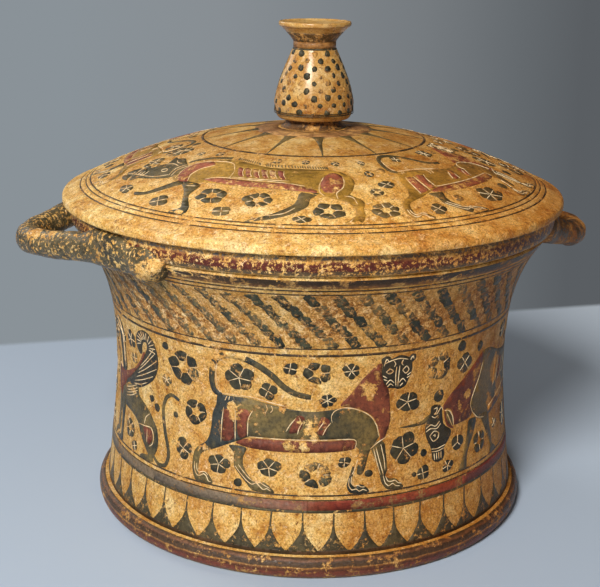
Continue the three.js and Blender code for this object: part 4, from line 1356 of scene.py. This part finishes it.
# The floor, the light and the photo's viewpoint
# A pale table with grey paper beyond its edges, a broad soft lamp in front and to the left,
# a faint one on the right and one behind on the left.
camera_place = Vector((-0.1217, -0.5491, 0.2629))
camera_turn = radians(11.96)
camera_pitch = radians(16.571)
camera_roll = radians(0.711)
table_back = 0.2335
table_slant = 0.042
edge_blur = 0.01
forward = Vector((sin(camera_turn) * cos(camera_pitch), cos(camera_turn) * cos(camera_pitch),
                  -sin(camera_pitch)))
level = Vector((cos(camera_turn), -sin(camera_turn), 0))
upward = level.cross(forward)
camera_data = bpy.data.cameras.new("camera")
camera_data.lens = 73.5
camera = bpy.data.objects.new("camera", camera_data)
camera.matrix_world = Matrix((
    cos(camera_roll) * level + sin(camera_roll) * upward,
    cos(camera_roll) * upward - sin(camera_roll) * level,
    -forward)).transposed().to_4x4()
camera.matrix_world.translation = camera_place
bpy.context.collection.objects.link(camera)
bpy.context.scene.camera = camera

floor_mesh = bmesh.new()
bmesh.ops.create_grid(floor_mesh, x_segments=1, y_segments=1, size=30)
floor = bpy.data.meshes.new("floor")
floor_mesh.to_mesh(floor)
floor_mesh.free()
table = bpy.data.objects.new("floor", floor)
bpy.context.collection.objects.link(table)
table_material, table_tree, table_shader, table_place = new_material("pale_table")
table_shader.inputs["Roughness"].default_value = 0.8
where = axes_of(table_tree, table_place)
# The table is painted lighter towards the right: painted light that lifts the lamps' shadow there.
table_tone_and_light = ramp(table_tree, span(table_tree, where["X"], 0.02, 0.36), [
    (0, shade(176, 193, 216)), (1, shade(206, 220, 238))])
table_tree.links.new(table_tone_and_light, table_shader.inputs["Base Color"])
# Paper surrounds the table past its edges and glows for the camera only; painted shade darkens it to the
# right of the viewpoint.
depth = sums(table_tree, "MULTIPLY_ADD", where["X"], -table_slant, where["Y"])
beyond = span(table_tree, depth, table_back, table_back + edge_blur)
for edge, outward in (("X", 1.1), ("X", -1.1), ("Y", -1.3)):
    past = sums(table_tree, "MULTIPLY", where[edge], 1 / outward)
    beyond = sums(table_tree, "MAXIMUM", beyond, span(table_tree, past, 1, 1.02))
offsets = []
for axis in (level, forward):
    origin = -camera_place.x * axis.x - camera_place.y * axis.y
    across = sums(table_tree, "MULTIPLY_ADD", where["X"], axis.x, origin)
    offsets.append(sums(table_tree, "MULTIPLY_ADD", where["Y"], axis.y, across))
sideways = sums(table_tree, "DIVIDE", offsets[0], sums(table_tree, "MAXIMUM", offsets[1], 0.7))
sideways = sums(table_tree, "MULTIPLY", sideways, span(table_tree, offsets[1], 0.3, 0.7))
paper = node(table_tree, "Emission")
# Painted shade: the paper's glow is dimmer to the right.
paper_tone_and_shade = ramp(table_tree, sums(table_tree, "MULTIPLY_ADD", sideways, 2, 0.5), [
    (0.1, shade(138, 146, 152)), (0.37, shade(136, 142, 147)), (0.70, shade(118, 123, 127)),
    (0.86, shade(101, 106, 110)), (0.97, shade(90, 94, 98))])
table_tree.links.new(paper_tone_and_shade, paper.inputs["Color"])
seen_by_eye = node(table_tree, "LightPath").outputs["Is Camera Ray"]
table_mix = node(table_tree, "MixShader")
table_tree.links.new(sums(table_tree, "MULTIPLY", beyond, seen_by_eye), table_mix.inputs[0])
table_tree.links.new(table_shader.outputs[0], table_mix.inputs[1])
table_tree.links.new(paper.outputs[0], table_mix.inputs[2])
table_tree.links.new(table_mix.outputs[0], table_tree.nodes["Material Output"].inputs["Surface"])
floor.materials.append(table_material)


def lamp(name, place, size, power, colour):
    data = bpy.data.lights.new(name, "AREA")
    data.shape = "DISK"
    data.size = size
    data.energy = power
    data.color = colour
    made = bpy.data.objects.new(name, data)
    made.location = place
    aim = Vector((0, 0, 0.1)) - Vector(place)
    made.rotation_euler = aim.to_track_quat("-Z", "Y").to_euler()
    bpy.context.collection.objects.link(made)


lamp("key", (-0.72, -1.12, 1.15), 0.55, 33, (1, 0.95, 0.87))
lamp("fill", (1.3, -0.7, 0.7), 0.9, 0.35, (1, 0.96, 0.9))
lamp("back", (-0.9, 1.3, 0.9), 0.9, 8, (1, 0.96, 0.9))
world = bpy.data.worlds.new("studio")
world.use_nodes = True
world_tree = world.node_tree
backdrop = world_tree.nodes["Background"]
backdrop.inputs["Color"].default_value = shade(129, 135, 139)
backdrop.inputs["Strength"].default_value = 1
room_light = node(world_tree, "Background", Color=shade(226, 220, 210), Strength=0.11)
either = node(world_tree, "MixShader")
world_tree.links.new(node(world_tree, "LightPath").outputs["Is Camera Ray"], either.inputs[0])
world_tree.links.new(room_light.outputs[0], either.inputs[1])
world_tree.links.new(backdrop.outputs[0], either.inputs[2])
world_tree.links.new(either.outputs[0], world_tree.nodes["World Output"].inputs["Surface"])
bpy.context.scene.world = world
bpy.context.scene.view_settings.view_transform = "Standard"
